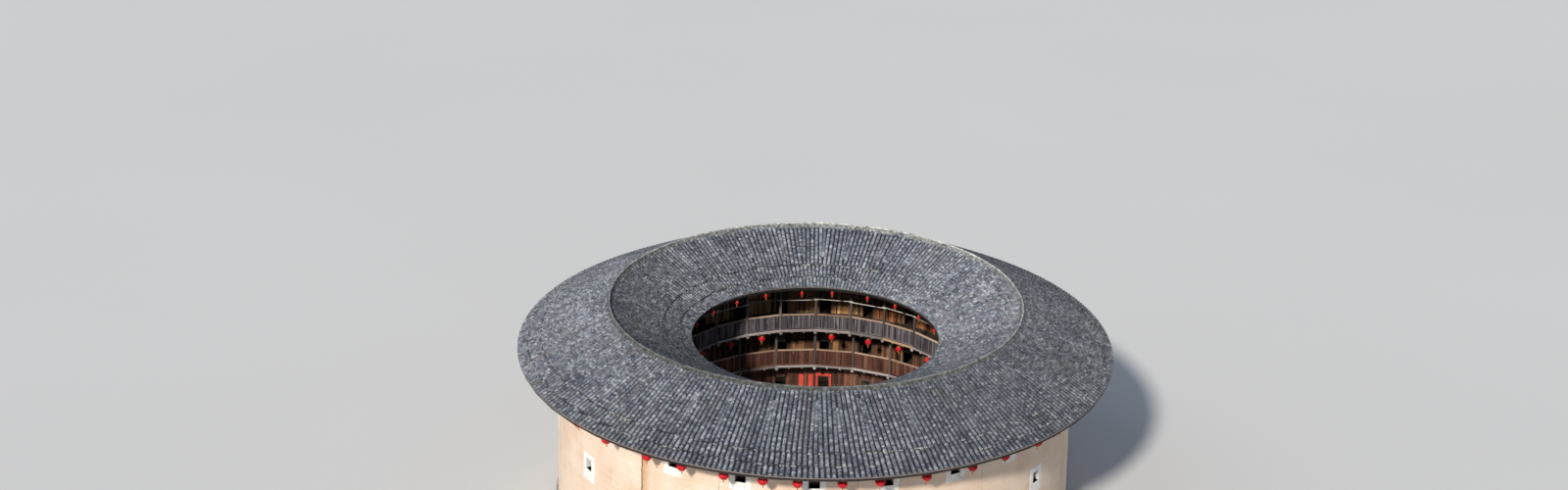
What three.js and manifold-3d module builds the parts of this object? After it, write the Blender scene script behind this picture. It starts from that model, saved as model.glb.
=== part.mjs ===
// A round earth house of three storeys around an open courtyard.
//
// Millimetres, +Z up. The origin is on the ground at the centre of the ring.
// The gateway faces -Y. An azimuth is measured from -Y towards +X, seen from above it
// runs anticlockwise. The timber ring has 26 equal bays, with a post line at each half bay,
// so the gateway and the hall door opposite both stand in the middle of a bay.

import * as THREE from 'three';
import { mergeVertices } from 'three/addons/utils/BufferGeometryUtils.js';
import Module from 'manifold-3d';

const wasm = await Module();
wasm.setup();

// Driving dimensions of the plan
const BAYS = 26;
const BAY = 2 * Math.PI / BAYS;
const GAP = 0.3;                 // between pieces that touch
const ROOF_FACETS = 52;
const RIDGE_R = 12000;
const OUTER_EAVE_R = 17330;
const INNER_EAVE_R = 7262;
const WALL_INNER_R = 14000;
const WALL_FOOT_R = 15190;       // outer face at the top of the plinth
const WALL_HEAD_R = 14930;       // outer face under the eave
const PARTITION_R = 11750;
const GALLERY_2_R = 10360;
const GALLERY_3_R = 9320;

// Driving heights
const PLINTH_TOP = 450;
const FLOOR_2 = 3420;
const FLOOR_3 = 6400;
const RAIL_TOP_2 = 4510;
const RAIL_TOP_3 = 7440;
const POLE_HEIGHT = 8450;
const PARTITION_3_TOP = 9000;
const ROOF_APEX = 12420;         // where the two slopes meet under the ridge
const RIDGE_TOP = 12600;
const OUTER_EAVE_TOP = 10050;
const INNER_EAVE_TOP = 10190;
const ROOF_DEPTH = 220;          // tiles, boards and rafters, measured plumb

// Timber sections
const DECK = 60;
const BEAM_WIDTH = 200;
const BEAM_DEPTH = 220;
const BEAM_OVERHANG = 220;       // past the gallery post line
const DECK_OVERHANG = 100;
const GALLERY_POST = 160;
const PARTITION_POST = 180;
const BOARD = 50;
const RAIL_WIDTH = 110;
const RAIL_DEPTH = 90;
const DOOR_WIDTH = 700;
const DOOR_HEIGHT = 1950;
const DOOR_FROM_POST = 620;      // door centre to post centre

// Earth wall and its openings
const WALL_SEGMENTS = 12;
const WALL_FACETS = 96;
const WINDOW_WIDTH = 600;
const WINDOW_HEIGHT = 660;
const WINDOW_SILL_2 = 5420;
const WINDOW_SILL_3 = 8120;
const WINDOWS_3 = 24;
const WINDOW_AZIMUTHS_2 = [-165, -135, -105, -75, -48.5, -15, 15, 35, 62.5, 105, 135, 165];

// Gateway
const GATE_WIDTH = 1700;
const GATE_HEIGHT = 2750;
const GATE_JAMB = 300;
const GATE_LINTEL = 400;
const GATE_PROUD = 40;           // stone frame past the wall face
const THRESHOLD = 120;
const PASSAGE_HEIGHT = 2900;

const OUTER_FALL = (ROOF_APEX - OUTER_EAVE_TOP) / (OUTER_EAVE_R - RIDGE_R);
const INNER_FALL = (ROOF_APEX - INNER_EAVE_TOP) / (RIDGE_R - INNER_EAVE_R);

const degrees = (angle) => angle * Math.PI / 180;

const materials = {
  earth: [0xdcbf9c, 0.95],
  stone: [0x9a958b, 0.9],
  tile: [0x4a4d52, 0.85],
  ridge: [0x8d8c80, 0.9],
  dark_timber: [0x4b3a30, 0.8],
  board: [0x8a5a3c, 0.8],
  grey_board: [0x75706a, 0.85],
  pole: [0xc9b9a4, 0.6],
};

function material(name) {
  const [color, roughness] = materials[name];
  return new THREE.MeshStandardMaterial({ color, roughness, metalness: 0, name });
}

// Solids

function toSolid(geometry) {
  const bare = geometry.clone();
  bare.deleteAttribute('normal');
  bare.deleteAttribute('uv');
  const merged = mergeVertices(bare);
  return new wasm.Manifold(new wasm.Mesh({
    numProp: 3,
    vertProperties: Float32Array.from(merged.attributes.position.array),
    triVerts: Uint32Array.from(merged.index.array),
  }));
}

function toGeometry(solid) {
  const { vertProperties, triVerts } = solid.getMesh();
  const geometry = new THREE.BufferGeometry();
  geometry.setAttribute('position', new THREE.BufferAttribute(vertProperties, 3));
  geometry.setIndex(new THREE.BufferAttribute(triVerts, 1));
  geometry.computeVertexNormals();
  return geometry;
}

// A closed section of [radius, height] points, listed anticlockwise, turned round the axis.
function ring(section, facets = ROOF_FACETS, startAzimuth = 0) {
  const points = [...section, section[0]].map(([r, z]) => new THREE.Vector2(r, z));
  const lathe = new THREE.LatheGeometry(points, facets, startAzimuth, 2 * Math.PI);
  return toSolid(lathe.rotateX(Math.PI / 2));
}

// A straight-sided ring with a corner at each post line.
function bayRing(section) {
  return ring(section, BAYS, BAY / 2);
}

function rectangle(innerR, outerR, low, high) {
  return [[innerR, low], [outerR, low], [outerR, high], [innerR, high]];
}

// A box that points away from the axis at an azimuth, moved sideways by shift.
function radialBox(innerR, outerR, width, low, high, azimuth, shift = 0) {
  const box = new THREE.BoxGeometry(width, outerR - innerR, high - low);
  box.translate(shift, -(innerR + outerR) / 2, (low + high) / 2);
  return toSolid(box.rotateZ(azimuth));
}

function polar(r, azimuth) {
  return new THREE.Vector2(r * Math.sin(azimuth), -r * Math.cos(azimuth));
}

function join(solids) {
  return solids.reduce((sum, solid) => sum.add(solid));
}

function atEachPost(make) {
  return Array.from({ length: BAYS }, (_, k) => make((k + 0.5) * BAY));
}

// Roof

function outerUnderside(r) {
  return ROOF_APEX - OUTER_FALL * (r - RIDGE_R) - ROOF_DEPTH;
}

function innerUnderside(r) {
  return ROOF_APEX - INNER_FALL * (RIDGE_R - r) - ROOF_DEPTH;
}

function outerRoof() {
  const inner = RIDGE_R + GAP / 2;
  return ring([
    [inner, outerUnderside(inner)], [OUTER_EAVE_R, outerUnderside(OUTER_EAVE_R)],
    [OUTER_EAVE_R, OUTER_EAVE_TOP], [inner, outerUnderside(inner) + ROOF_DEPTH],
  ]);
}

function innerRoof() {
  const outer = RIDGE_R - GAP / 2;
  return ring([
    [INNER_EAVE_R, innerUnderside(INNER_EAVE_R)], [outer, innerUnderside(outer)],
    [outer, innerUnderside(outer) + ROOF_DEPTH], [INNER_EAVE_R, INNER_EAVE_TOP],
  ]);
}

function ridge() {
  const halfFoot = 250;
  const halfHead = 170;
  const seat = ROOF_DEPTH + GAP;
  return ring([
    [RIDGE_R - halfFoot, innerUnderside(RIDGE_R - halfFoot) + seat],
    [RIDGE_R, ROOF_APEX + GAP],
    [RIDGE_R + halfFoot, outerUnderside(RIDGE_R + halfFoot) + seat],
    [RIDGE_R + halfHead, RIDGE_TOP], [RIDGE_R - halfHead, RIDGE_TOP],
  ]);
}

// The board that closes the rafter feet, hung under the edge of each slope.
function eaveBoard(near, far, underside) {
  const drop = 120;
  const low = Math.min(underside(near), underside(far)) - drop;
  return ring([[near, low], [far, low], [far, underside(far) - GAP], [near, underside(near) - GAP]]);
}

// Everything above the underside of the roof, to trim what carries it.
const overRoof = ring([
  [INNER_EAVE_R, innerUnderside(INNER_EAVE_R) - GAP], [RIDGE_R, ROOF_APEX - ROOF_DEPTH - GAP],
  [OUTER_EAVE_R, outerUnderside(OUTER_EAVE_R) - GAP],
  [OUTER_EAVE_R, RIDGE_TOP + 1000], [INNER_EAVE_R, RIDGE_TOP + 1000],
]);

// Earth wall

function wallRing() {
  return ring([
    [WALL_INNER_R, PLINTH_TOP + GAP], [WALL_FOOT_R, PLINTH_TOP + GAP],
    [WALL_HEAD_R, outerUnderside(WALL_HEAD_R)], [WALL_HEAD_R, RIDGE_TOP], [WALL_INNER_R, RIDGE_TOP],
  ], WALL_FACETS).subtract(overRoof);
}

// A wedge of the plan between two azimuths, half a gap short at each side.
function wedge(start, end) {
  const near = WALL_INNER_R - 1000;
  const far = WALL_FOOT_R + 2500;
  const inset = (azimuth, side) => new THREE.Vector2(
    Math.cos(azimuth), Math.sin(azimuth)).multiplyScalar(side * GAP / 2);
  const outline = [
    polar(near, start).add(inset(start, 1)), polar(far, start).add(inset(start, 1)),
    polar(far, end).add(inset(end, -1)), polar(near, end).add(inset(end, -1)),
  ];
  const extruded = new THREE.ExtrudeGeometry(new THREE.Shape(outline), {
    depth: RIDGE_TOP, bevelEnabled: false,
  });
  return toSolid(extruded);
}

function windowHole(azimuth, sill) {
  return radialBox(WALL_INNER_R - 300, WALL_FOOT_R + 300, WINDOW_WIDTH, sill,
    sill + WINDOW_HEIGHT, azimuth);
}

function windowHoles() {
  const second = WINDOW_AZIMUTHS_2.map((azimuth) => windowHole(degrees(azimuth), WINDOW_SILL_2));
  const step = 2 * Math.PI / WINDOWS_3;
  const third = Array.from({ length: WINDOWS_3 },
    (_, k) => windowHole((k + 0.5) * step, WINDOW_SILL_3));
  return join([...second, ...third]);
}

const halfGate = GATE_WIDTH / 2 + GATE_JAMB;

function gateCut(low, high, clearance) {
  return radialBox(WALL_INNER_R - 1000, WALL_FOOT_R + 1000, 2 * (halfGate + clearance), low, high, 0);
}

function wallSegment(pierced, index) {
  const step = 2 * Math.PI / WALL_SEGMENTS;
  return pierced.intersect(wedge(index * step, (index + 1) * step))
    .subtract(gateCut(-1000, RIDGE_TOP + 1000, GAP));
}

function wallOverGate(whole) {
  return whole.intersect(gateCut(GATE_HEIGHT + GATE_LINTEL + GAP, RIDGE_TOP + 1000, 0));
}

function plinth() {
  const width = 1420;
  const inner = WALL_INNER_R - 100;
  return ring(rectangle(inner, inner + width, 0, PLINTH_TOP), WALL_FACETS / 2)
    .subtract(gateCut(-1000, PLINTH_TOP + 1000, GAP));
}

// Gateway

const GATE_FACE_R = WALL_FOOT_R + GATE_PROUD;

function gateJamb(side) {
  return radialBox(WALL_INNER_R, GATE_FACE_R, GATE_JAMB, 0, GATE_HEIGHT - GAP, 0,
    side * (GATE_WIDTH + GATE_JAMB) / 2);
}

function gateLintel() {
  return radialBox(WALL_INNER_R, GATE_FACE_R, 2 * halfGate, GATE_HEIGHT, GATE_HEIGHT + GATE_LINTEL, 0);
}

function gateThreshold() {
  return radialBox(WALL_INNER_R, GATE_FACE_R, GATE_WIDTH - 2 * GAP, 0, THRESHOLD, 0);
}

// Timber ring

function floor(top, galleryR) {
  const outer = WALL_INNER_R - 20;
  const inner = galleryR - DECK_OVERHANG;
  const outline = Array.from({ length: ROOF_FACETS }, (_, k) => polar(outer, k * BAY / 2));
  const well = Array.from({ length: BAYS }, (_, k) => polar(inner, (k + 0.5) * BAY));
  const shape = new THREE.Shape(outline);
  shape.holes.push(new THREE.Path(well));
  const boards = new THREE.ExtrudeGeometry(shape, { depth: DECK, bevelEnabled: false });
  boards.translate(0, 0, top - DECK);
  const beams = atEachPost((azimuth) => radialBox(galleryR - BEAM_OVERHANG, outer - 10, BEAM_WIDTH,
    top - DECK - BEAM_DEPTH, top - DECK / 2, azimuth));
  return join([toSolid(boards), ...beams]);
}

// Boarded front of the rooms, with one doorway in each bay.
function partition(low, high, postTop, doorSill) {
  const boards = bayRing(rectangle(PARTITION_R - BOARD / 2, PARTITION_R + BOARD / 2, low, high));
  const posts = atEachPost((azimuth) => radialBox(PARTITION_R - PARTITION_POST / 2,
    PARTITION_R + PARTITION_POST / 2, PARTITION_POST, low, postTop, azimuth));
  const halfBay = PARTITION_R * Math.sin(BAY / 2);
  const doors = Array.from({ length: BAYS }, (_, k) => radialBox(PARTITION_R - 400,
    PARTITION_R + 400, DOOR_WIDTH, doorSill, low + DOOR_HEIGHT, k * BAY, halfBay - DOOR_FROM_POST));
  return join([boards, ...posts]).subtract(join(doors));
}

function groundPartition() {
  const top = FLOOR_2 - DECK - BEAM_DEPTH - GAP;
  const clear = 2 * PARTITION_R * Math.sin(BAY / 2) - 1.3 * PARTITION_POST;
  const passage = radialBox(PARTITION_R - 400, PARTITION_R + 400, clear, -1000, PASSAGE_HEIGHT, 0);
  return partition(0, top, top, -1000).subtract(passage);
}

function secondPartition() {
  const top = FLOOR_3 - DECK - BEAM_DEPTH - GAP;
  return partition(FLOOR_2 + GAP, top, top, FLOOR_2 + 60);
}

function thirdPartition() {
  return partition(FLOOR_3 + GAP, PARTITION_3_TOP, RIDGE_TOP, FLOOR_3 + 60).subtract(overRoof);
}

// Gallery posts with the boarded balustrade between them.
function gallery(galleryR, floorTop, railTop, postTop) {
  const foot = floorTop + GAP;
  const posts = atEachPost((azimuth) => radialBox(galleryR - GALLERY_POST / 2,
    galleryR + GALLERY_POST / 2, GALLERY_POST, foot, postTop, azimuth));
  const halfRail = RAIL_WIDTH / 2;
  const halfBoard = BOARD / 2;
  const railFoot = railTop - RAIL_DEPTH;
  const balustrade = bayRing([
    [galleryR - halfBoard, foot], [galleryR + halfBoard, foot],
    [galleryR + halfBoard, railFoot], [galleryR + halfRail, railFoot],
    [galleryR + halfRail, railTop], [galleryR - halfRail, railTop],
    [galleryR - halfRail, railFoot], [galleryR - halfBoard, railFoot],
  ]);
  return join([balustrade, ...posts]);
}

// Poles tied to the courtyard side of the third-floor posts.
function poleRing() {
  const radius = 32;
  const centre = GALLERY_3_R - GALLERY_POST / 2 - radius - GAP;
  const sides = 6;
  return bayRing(Array.from({ length: sides }, (_, k) => {
    const turn = 2 * Math.PI * k / sides;
    return [centre + radius * Math.cos(turn), POLE_HEIGHT + radius * Math.sin(turn)];
  }));
}

// Assembly

const group = new THREE.Group();

function add(name, solid, materialName) {
  const mesh = new THREE.Mesh(toGeometry(solid), material(materialName));
  mesh.name = name;
  group.add(mesh);
}

add('plinth', plinth(), 'stone');

const whole = wallRing();
const pierced = whole.subtract(windowHoles());
for (let index = 0; index < WALL_SEGMENTS; index += 1) {
  const number = String(index + 1).padStart(2, '0');
  add(`earth_wall_${number}`, wallSegment(pierced, index), 'earth');
}
add('wall_over_gate', wallOverGate(whole), 'earth');
add('gate_jamb_left', gateJamb(-1), 'stone');
add('gate_jamb_right', gateJamb(1), 'stone');
add('gate_lintel', gateLintel(), 'stone');
add('gate_threshold', gateThreshold(), 'stone');

add('ground_partition', groundPartition(), 'board');
add('second_floor', floor(FLOOR_2, GALLERY_2_R), 'dark_timber');
add('second_partition', secondPartition(), 'board');
add('second_gallery',
  gallery(GALLERY_2_R, FLOOR_2, RAIL_TOP_2, FLOOR_3 - DECK - BEAM_DEPTH - GAP), 'board');
add('third_floor', floor(FLOOR_3, GALLERY_3_R), 'dark_timber');
add('third_partition', thirdPartition(), 'board');
add('third_gallery',
  gallery(GALLERY_3_R, FLOOR_3, RAIL_TOP_3, RIDGE_TOP).subtract(overRoof), 'grey_board');
add('drying_pole_ring', poleRing(), 'pole');

add('outer_roof', outerRoof(), 'tile');
add('inner_roof', innerRoof(), 'tile');
add('ridge', ridge(), 'ridge');
add('outer_eave_board', eaveBoard(OUTER_EAVE_R - 220, OUTER_EAVE_R - 60, outerUnderside), 'dark_timber');
add('inner_eave_board', eaveBoard(INNER_EAVE_R + 60, INNER_EAVE_R + 220, innerUnderside), 'dark_timber');

export default group;
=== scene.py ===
import math
import random
from collections import namedtuple
from itertools import product
from math import cos, pi, sin, tau

import bpy
from mathutils import Matrix, Vector, noise


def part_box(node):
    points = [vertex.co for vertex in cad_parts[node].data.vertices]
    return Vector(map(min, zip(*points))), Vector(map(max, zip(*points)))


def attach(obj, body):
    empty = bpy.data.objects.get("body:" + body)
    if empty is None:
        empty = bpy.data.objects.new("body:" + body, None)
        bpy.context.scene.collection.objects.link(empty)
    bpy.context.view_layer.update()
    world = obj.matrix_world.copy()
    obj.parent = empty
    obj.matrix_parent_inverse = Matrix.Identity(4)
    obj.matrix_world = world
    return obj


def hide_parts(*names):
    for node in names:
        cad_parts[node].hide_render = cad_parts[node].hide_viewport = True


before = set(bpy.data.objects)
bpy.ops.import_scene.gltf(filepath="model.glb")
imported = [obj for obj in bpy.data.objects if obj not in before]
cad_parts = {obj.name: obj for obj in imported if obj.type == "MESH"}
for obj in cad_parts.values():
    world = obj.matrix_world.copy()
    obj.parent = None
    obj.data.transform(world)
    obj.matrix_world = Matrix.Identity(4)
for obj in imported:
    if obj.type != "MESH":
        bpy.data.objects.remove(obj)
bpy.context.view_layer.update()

deg = math.radians

# Sizes, in metres and radians. Azimuth runs from the gateway side (-Y) towards +X.

BAYS = 26
BAY = tau / BAYS
RIDGE_R = 12.0
RIDGE_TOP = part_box("ridge")[1].z
APEX_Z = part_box("outer_roof")[1].z
ROOF_DEPTH = 0.22
EAVE_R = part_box("outer_roof")[1].x
INNER_EAVE_R = 7.262
OUTER_EAVE_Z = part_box("outer_roof")[0].z + ROOF_DEPTH
INNER_EAVE_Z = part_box("inner_roof")[0].z + ROOF_DEPTH
OUTER_FALL = (APEX_Z - OUTER_EAVE_Z) / (EAVE_R - RIDGE_R)
INNER_FALL = (APEX_Z - INNER_EAVE_Z) / (RIDGE_R - INNER_EAVE_R)

PLINTH_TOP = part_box("plinth")[1].z
PLINTH_R = 15.32
WALL_FOOT_R = 15.19
WALL_BATTER = 0.02488
WALL_INNER_R = 14.0

SECOND_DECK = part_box("second_floor")[1].z
THIRD_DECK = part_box("third_floor")[1].z
DECK_THICK = 0.06
SECOND_R = 10.36
THIRD_R = 9.32
SECOND_RAIL = 4.51
THIRD_RAIL = 7.44
PARTITION_R = 11.75
POLE_R = 9.208
POLE_Z = 8.45
LANTERN_R = 16.2
LANTERN_Z = 9.04
NEAR_LANTERNS = (-36.0, -25.6, -17.9, -9.4, -2.0, 4.4, 12.6, 19.6, 28.6, 38.3)

WINDOW_WIDTH = 0.60
WINDOW_HEIGHT = 0.66
THIRD_SILL = 8.12
SECOND_SILL = 5.42
THIRD_WINDOWS = [deg((k + 0.5) * 15) for k in range(24)]
BARE_WINDOW = deg(322.5)
SECOND_WINDOWS = [deg(a) for a in (-165, -135, -105, -75, -48.5, -15, 15, 35, 62.5, 105, 135, 165)]

GATE_HALF = 1.15
GATE_TOP = 3.15
DOOR_WIDTH = 0.70
DOOR_HEIGHT = 1.95
DOOR_FROM_POST = 0.62
HALL_BAY = 13
NEWER_BOARD_BAY = 11

CRACK_AZIMUTH = deg(-12.0)
CRACK_SPACING = deg(28.2)
LEAK_AZIMUTH = deg(-30.55)
ACROSS_COURT = deg(165)

TILE_STEP = 0.13
CHANNEL_STEP = 0.20
COVER_WIDTH = 0.200


def at(radius, azimuth, height):
    """The point at a radius, azimuth and height."""
    return (radius * sin(azimuth), -radius * cos(azimuth), height)


def wall_radius(height):
    """The battered outer face of the earth wall."""
    return WALL_FOOT_R - (height - PLINTH_TOP) * WALL_BATTER


# Meshes


def new_piece(name, mesh, *finishes):
    """An object at the origin with the given materials."""
    piece = bpy.data.objects.new(name, mesh)
    bpy.context.scene.collection.objects.link(piece)
    for finish in finishes:
        mesh.materials.append(finish)
    return piece


def fit(piece, slot, *nodes):
    """Ties a piece to the house and hides the solids that it stands for; slot is not used."""
    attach(piece, "root")
    if nodes:
        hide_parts(*nodes)
    return piece


def new_mesh(name, points, faces):
    mesh = bpy.data.meshes.new(name)
    mesh.from_pydata([tuple(p) for p in points], [], faces)
    mesh.update()
    return mesh


def loop_faces(a, b, n):
    """The faces between two closed loops of n points, whose first points are a and b."""
    return [(a + k, b + k, b + (k + 1) % n, a + (k + 1) % n) for k in range(n)]


class Shape:
    """Collects points and faces of one mesh."""

    def __init__(self):
        self.points = []
        self.faces = []

    def bar(self, start, end, width, height, chamfer=0.12, up=(0, 0, 1)):
        """A straight bar with chamfered edges. width is level, and height is along up."""
        start, end = Vector(start), Vector(end)
        along = (end - start).normalized()
        side = along.cross(Vector(up)).normalized()
        top = side.cross(along)
        cut = chamfer * min(width, height)
        half_w, half_h = width / 2, height / 2
        section = [(half_w, -half_h + cut), (half_w, half_h - cut), (half_w - cut, half_h),
                   (cut - half_w, half_h), (-half_w, half_h - cut), (-half_w, cut - half_h),
                   (cut - half_w, -half_h), (half_w - cut, -half_h)]
        self.prism(start, end, [side * x + top * y for x, y in section])

    def log(self, start, end, radius, sides=10):
        """A round bar."""
        start, end = Vector(start), Vector(end)
        along = (end - start).normalized()
        side = along.cross(Vector((0, 0, 1)))
        side = side.normalized() if side.length > 0.01 else Vector((1, 0, 0))
        top = side.cross(along)
        turn = [tau * k / sides for k in range(sides)]
        self.prism(start, end, [(side * cos(t) + top * sin(t)) * radius for t in turn])

    def prism(self, start, end, section):
        n = len(section)
        base = len(self.points)
        self.points += [tuple(end + s) for end in (start, end) for s in section]
        self.faces += loop_faces(base, base + n, n)
        self.faces += [tuple(range(base, base + n)), tuple(reversed(range(base + n, base + 2 * n)))]

    def turned(self, profile, sides, ribs=0, rib=0.0):
        """A closed turned body. profile runs from the foot up, as (radius, height)."""
        first = len(self.points)
        top = first + (len(profile) - 1) * sides
        for radius, height in profile:
            for k in range(sides):
                t = tau * k / sides
                r = radius * (1 - rib * (0.5 + 0.5 * cos(ribs * t)))
                self.points.append((r * cos(t), r * sin(t), height))
        for low in range(first, top, sides):
            for k in range(sides):
                n = (k + 1) % sides
                self.faces.append((low + k, low + n, low + sides + n, low + sides + k))
        self.faces.append(tuple(reversed(range(first, first + sides))))
        self.faces.append(tuple(range(top, top + sides)))

    def mesh(self, name):
        return new_mesh(name, self.points, self.faces)


def ring_mesh(name, profile, steps, start=0.0, gap=0.0, wobble=None):
    """A profile of (radius, height) points, anticlockwise, carried round the axis."""
    shape = Shape()
    n = len(profile)
    count = steps + (gap > 0)
    for k in range(count):
        azimuth = start + gap + (tau - 2 * gap) * k / steps
        for radius, height in profile:
            if wobble:
                radius, height = wobble(radius, azimuth, height)
            shape.points.append(at(radius, azimuth, height))
    for k in range(steps):
        shape.faces += loop_faces(k * n, ((k + 1) % count) * n, n)
    if gap:
        shape.faces.append(tuple(range(n)))
        shape.faces.append(tuple(reversed(range(steps * n, steps * n + n))))
    return shape.mesh(name)


def ring_piece(name, profile, steps, finish, slot, *nodes, **how):
    """A profile carried round the axis, as a fitted piece."""
    return fit(new_piece(name, ring_mesh(name, profile, steps, **how), finish), slot, *nodes)


# Geometry node trees


def put(group, kind, values=None, **settings):
    """Adds a node. values gives its inputs, each a plain value or another node's output."""
    made = group.nodes.new(kind)
    for key, value in settings.items():
        setattr(made, key, value)
    for socket, value in (values or {}).items():
        if isinstance(value, bpy.types.NodeSocket):
            group.links.new(value, made.inputs[socket])
        else:
            made.inputs[socket].default_value = value
    return made


def new_tree(name, inputs):
    """An empty tree with a geometry input and the named ones."""
    group = bpy.data.node_groups.new(name, "GeometryNodeTree")
    group.interface.new_socket("Geometry", in_out="INPUT", socket_type="NodeSocketGeometry")
    for label, kind in inputs:
        group.interface.new_socket(label, in_out="INPUT", socket_type="NodeSocket" + kind)
    group.interface.new_socket("Geometry", in_out="OUTPUT", socket_type="NodeSocketGeometry")
    return group, put(group, "NodeGroupInput").outputs


COPY_INPUTS = [("Piece", "Object"), ("Sway", "Float"), ("Growth", "Float"), ("Missing", "Float"),
               ("Seed", "Int"), ("Finish", "Material")]


def calc(group, operation, a, b, kind="ShaderNodeMath"):
    return put(group, kind, {0: a, 1: b}, operation=operation).outputs[0]


def random_value(group, kind, low, high, seed, salt):
    """A random number or vector for each copy."""
    first, output = {"FLOAT": (2, 1), "FLOAT_VECTOR": (0, 0)}[kind]
    salted = calc(group, "ADD", seed, float(salt))
    return put(group, "FunctionNodeRandomValue",
               {first: low, first + 1: high, "Seed": salted}, data_type=kind).outputs[output]


def finish_copies(group, given, points, rotation, size):
    """Puts the piece on the points, varies it, and ends the tree."""
    sway, growth, seed = given["Sway"], given["Growth"], given["Seed"]
    swing = random_value(group, "FLOAT_VECTOR", calc(group, "MULTIPLY", sway, -1.0), sway, seed, 1)
    turn = put(group, "FunctionNodeEulerToRotation", {0: swing})
    turned = put(group, "FunctionNodeRotateRotation",
                 {0: rotation, 1: turn.outputs[0]}, rotation_space="LOCAL")
    low, high = (calc(group, way, 1.0, growth) for way in ("SUBTRACT", "ADD"))
    grown = random_value(group, "FLOAT_VECTOR", low, high, seed, 2)
    present = put(group, "FunctionNodeCompare",
                  {0: random_value(group, "FLOAT", 0.0, 1.0, seed, 3), 1: given["Missing"]},
                  operation="GREATER_THAN", data_type="FLOAT")
    model = put(group, "GeometryNodeObjectInfo", {"Object": given["Piece"]})
    copies = put(group, "GeometryNodeInstanceOnPoints",
                 {"Points": points, "Selection": present.outputs[0],
                  "Instance": model.outputs["Geometry"], "Rotation": turned.outputs[0],
                  "Scale": calc(group, "MULTIPLY", grown, size, "ShaderNodeVectorMath")})
    tinted = put(group, "GeometryNodeStoreNamedAttribute",
                 {"Geometry": copies.outputs[0], "Name": "tint",
                  "Value": random_value(group, "FLOAT", 0.0, 1.0, seed, 4)},
                 data_type="FLOAT", domain="INSTANCE")
    real = put(group, "GeometryNodeRealizeInstances", {"Geometry": tinted.outputs[0]})
    painted = put(group, "GeometryNodeSetMaterial",
                  {"Geometry": real.outputs[0], "Material": given["Finish"]})
    put(group, "NodeGroupOutput", {0: painted.outputs[0]})
    return group


def along_lines_tree():
    """Copies of a piece laid along each line, its Y along the line and its Z up."""
    group, given = new_tree("copies along lines", COPY_INPUTS + [("Spacing", "Float")])
    curve = put(group, "GeometryNodeMeshToCurve", {0: given["Geometry"]})
    spaced = put(group, "GeometryNodeResampleCurve",
                 {"Curve": curve.outputs[0], "Length": given["Spacing"]}, mode="LENGTH")
    tangent = put(group, "GeometryNodeInputTangent").outputs[0]
    rotation = put(group, "FunctionNodeAxesToRotation", {0: tangent, 1: (0.0, 0.0, 1.0)},
                   primary_axis="Y", secondary_axis="Z")
    return finish_copies(group, given, spaced.outputs[0], rotation.outputs[0], (1.0, 1.0, 1.0))


def around_axis_tree():
    """Copies of a piece turned about the vertical by each point's azimuth."""
    group, given = new_tree("copies around the axis", COPY_INPUTS)
    azimuth, size = (
        put(group, "GeometryNodeInputNamedAttribute", {"Name": name}, data_type=kind).outputs[0]
        for name, kind in (("azimuth", "FLOAT"), ("size", "FLOAT_VECTOR")))
    turn = put(group, "ShaderNodeCombineXYZ", {"Z": azimuth})
    rotation = put(group, "FunctionNodeEulerToRotation", {0: turn.outputs[0]})
    return finish_copies(group, given, given["Geometry"], rotation.outputs[0], size)


ALONG_LINES = along_lines_tree()
AROUND_AXIS = around_axis_tree()


def settled(holder, **how):
    """The mesh that an object's modifiers give, as a plain mesh."""
    depsgraph = bpy.context.evaluated_depsgraph_get()
    evaluated = holder.evaluated_get(depsgraph)
    return bpy.data.meshes.new_from_object(evaluated, depsgraph=depsgraph, **how)


def copies(name, group, carrier_mesh, shape, finish, seed, sway, growth, missing, **more):
    """Runs a copying tree on a mesh and returns the result as a plain object."""
    model = new_piece(name + "_model", shape.mesh(name + "_model"))
    settings = dict(Piece=model, Sway=sway, Growth=growth, Missing=missing, Seed=seed,
                    Finish=finish, **more)
    carrier = new_piece(name + "_carrier", carrier_mesh)
    modifier = carrier.modifiers.new("copies", "NODES")
    modifier.node_group = group
    for item in group.interface.items_tree:
        if item.in_out == "INPUT" and item.name in settings:
            modifier[item.identifier] = settings[item.name]
    mesh = settled(carrier, preserve_all_data_layers=True)
    bpy.data.objects.remove(carrier)
    bpy.data.objects.remove(model)
    return new_piece(name, mesh)


def lay_along(name, lines, shape, spacing, finish, slot, seed, sway, growth, missing=0.0, nodes=()):
    """Lays copies of a shape along straight lines, each a pair of points."""
    mesh = bpy.data.meshes.new(name + "_lines")
    points = [p for line in lines for p in line]
    mesh.from_pydata(points, [(2 * k, 2 * k + 1) for k in range(len(lines))], [])
    piece = copies(name, ALONG_LINES, mesh, shape, finish, seed, sway, growth, missing,
                   Spacing=spacing)
    return fit(piece, slot, *nodes)


Spot = namedtuple("Spot", "azimuth place size", defaults=((0, 0, 0), (1, 1, 1)))


def set_around(name, spots, shape, finish, slot, seed=1, sway=0.0, growth=0.0, nodes=()):
    """Sets copies of a shape at spots round the axis."""
    mesh = bpy.data.meshes.new(name + "_spots")
    mesh.from_pydata([tuple(spot.place) for spot in spots], [], [])
    azimuth = mesh.attributes.new("azimuth", "FLOAT", "POINT")
    azimuth.data.foreach_set("value", [spot.azimuth for spot in spots])
    size = mesh.attributes.new("size", "FLOAT_VECTOR", "POINT")
    size.data.foreach_set("vector", [x for spot in spots for x in spot.size])
    return fit(copies(name, AROUND_AXIS, mesh, shape, finish, seed, sway, growth, 0.0), slot, *nodes)


def every_bay(count=BAYS):
    """Spots for a shape made in place at azimuth 0."""
    return [Spot(tau * k / count) for k in range(count)]


# Materials


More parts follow.
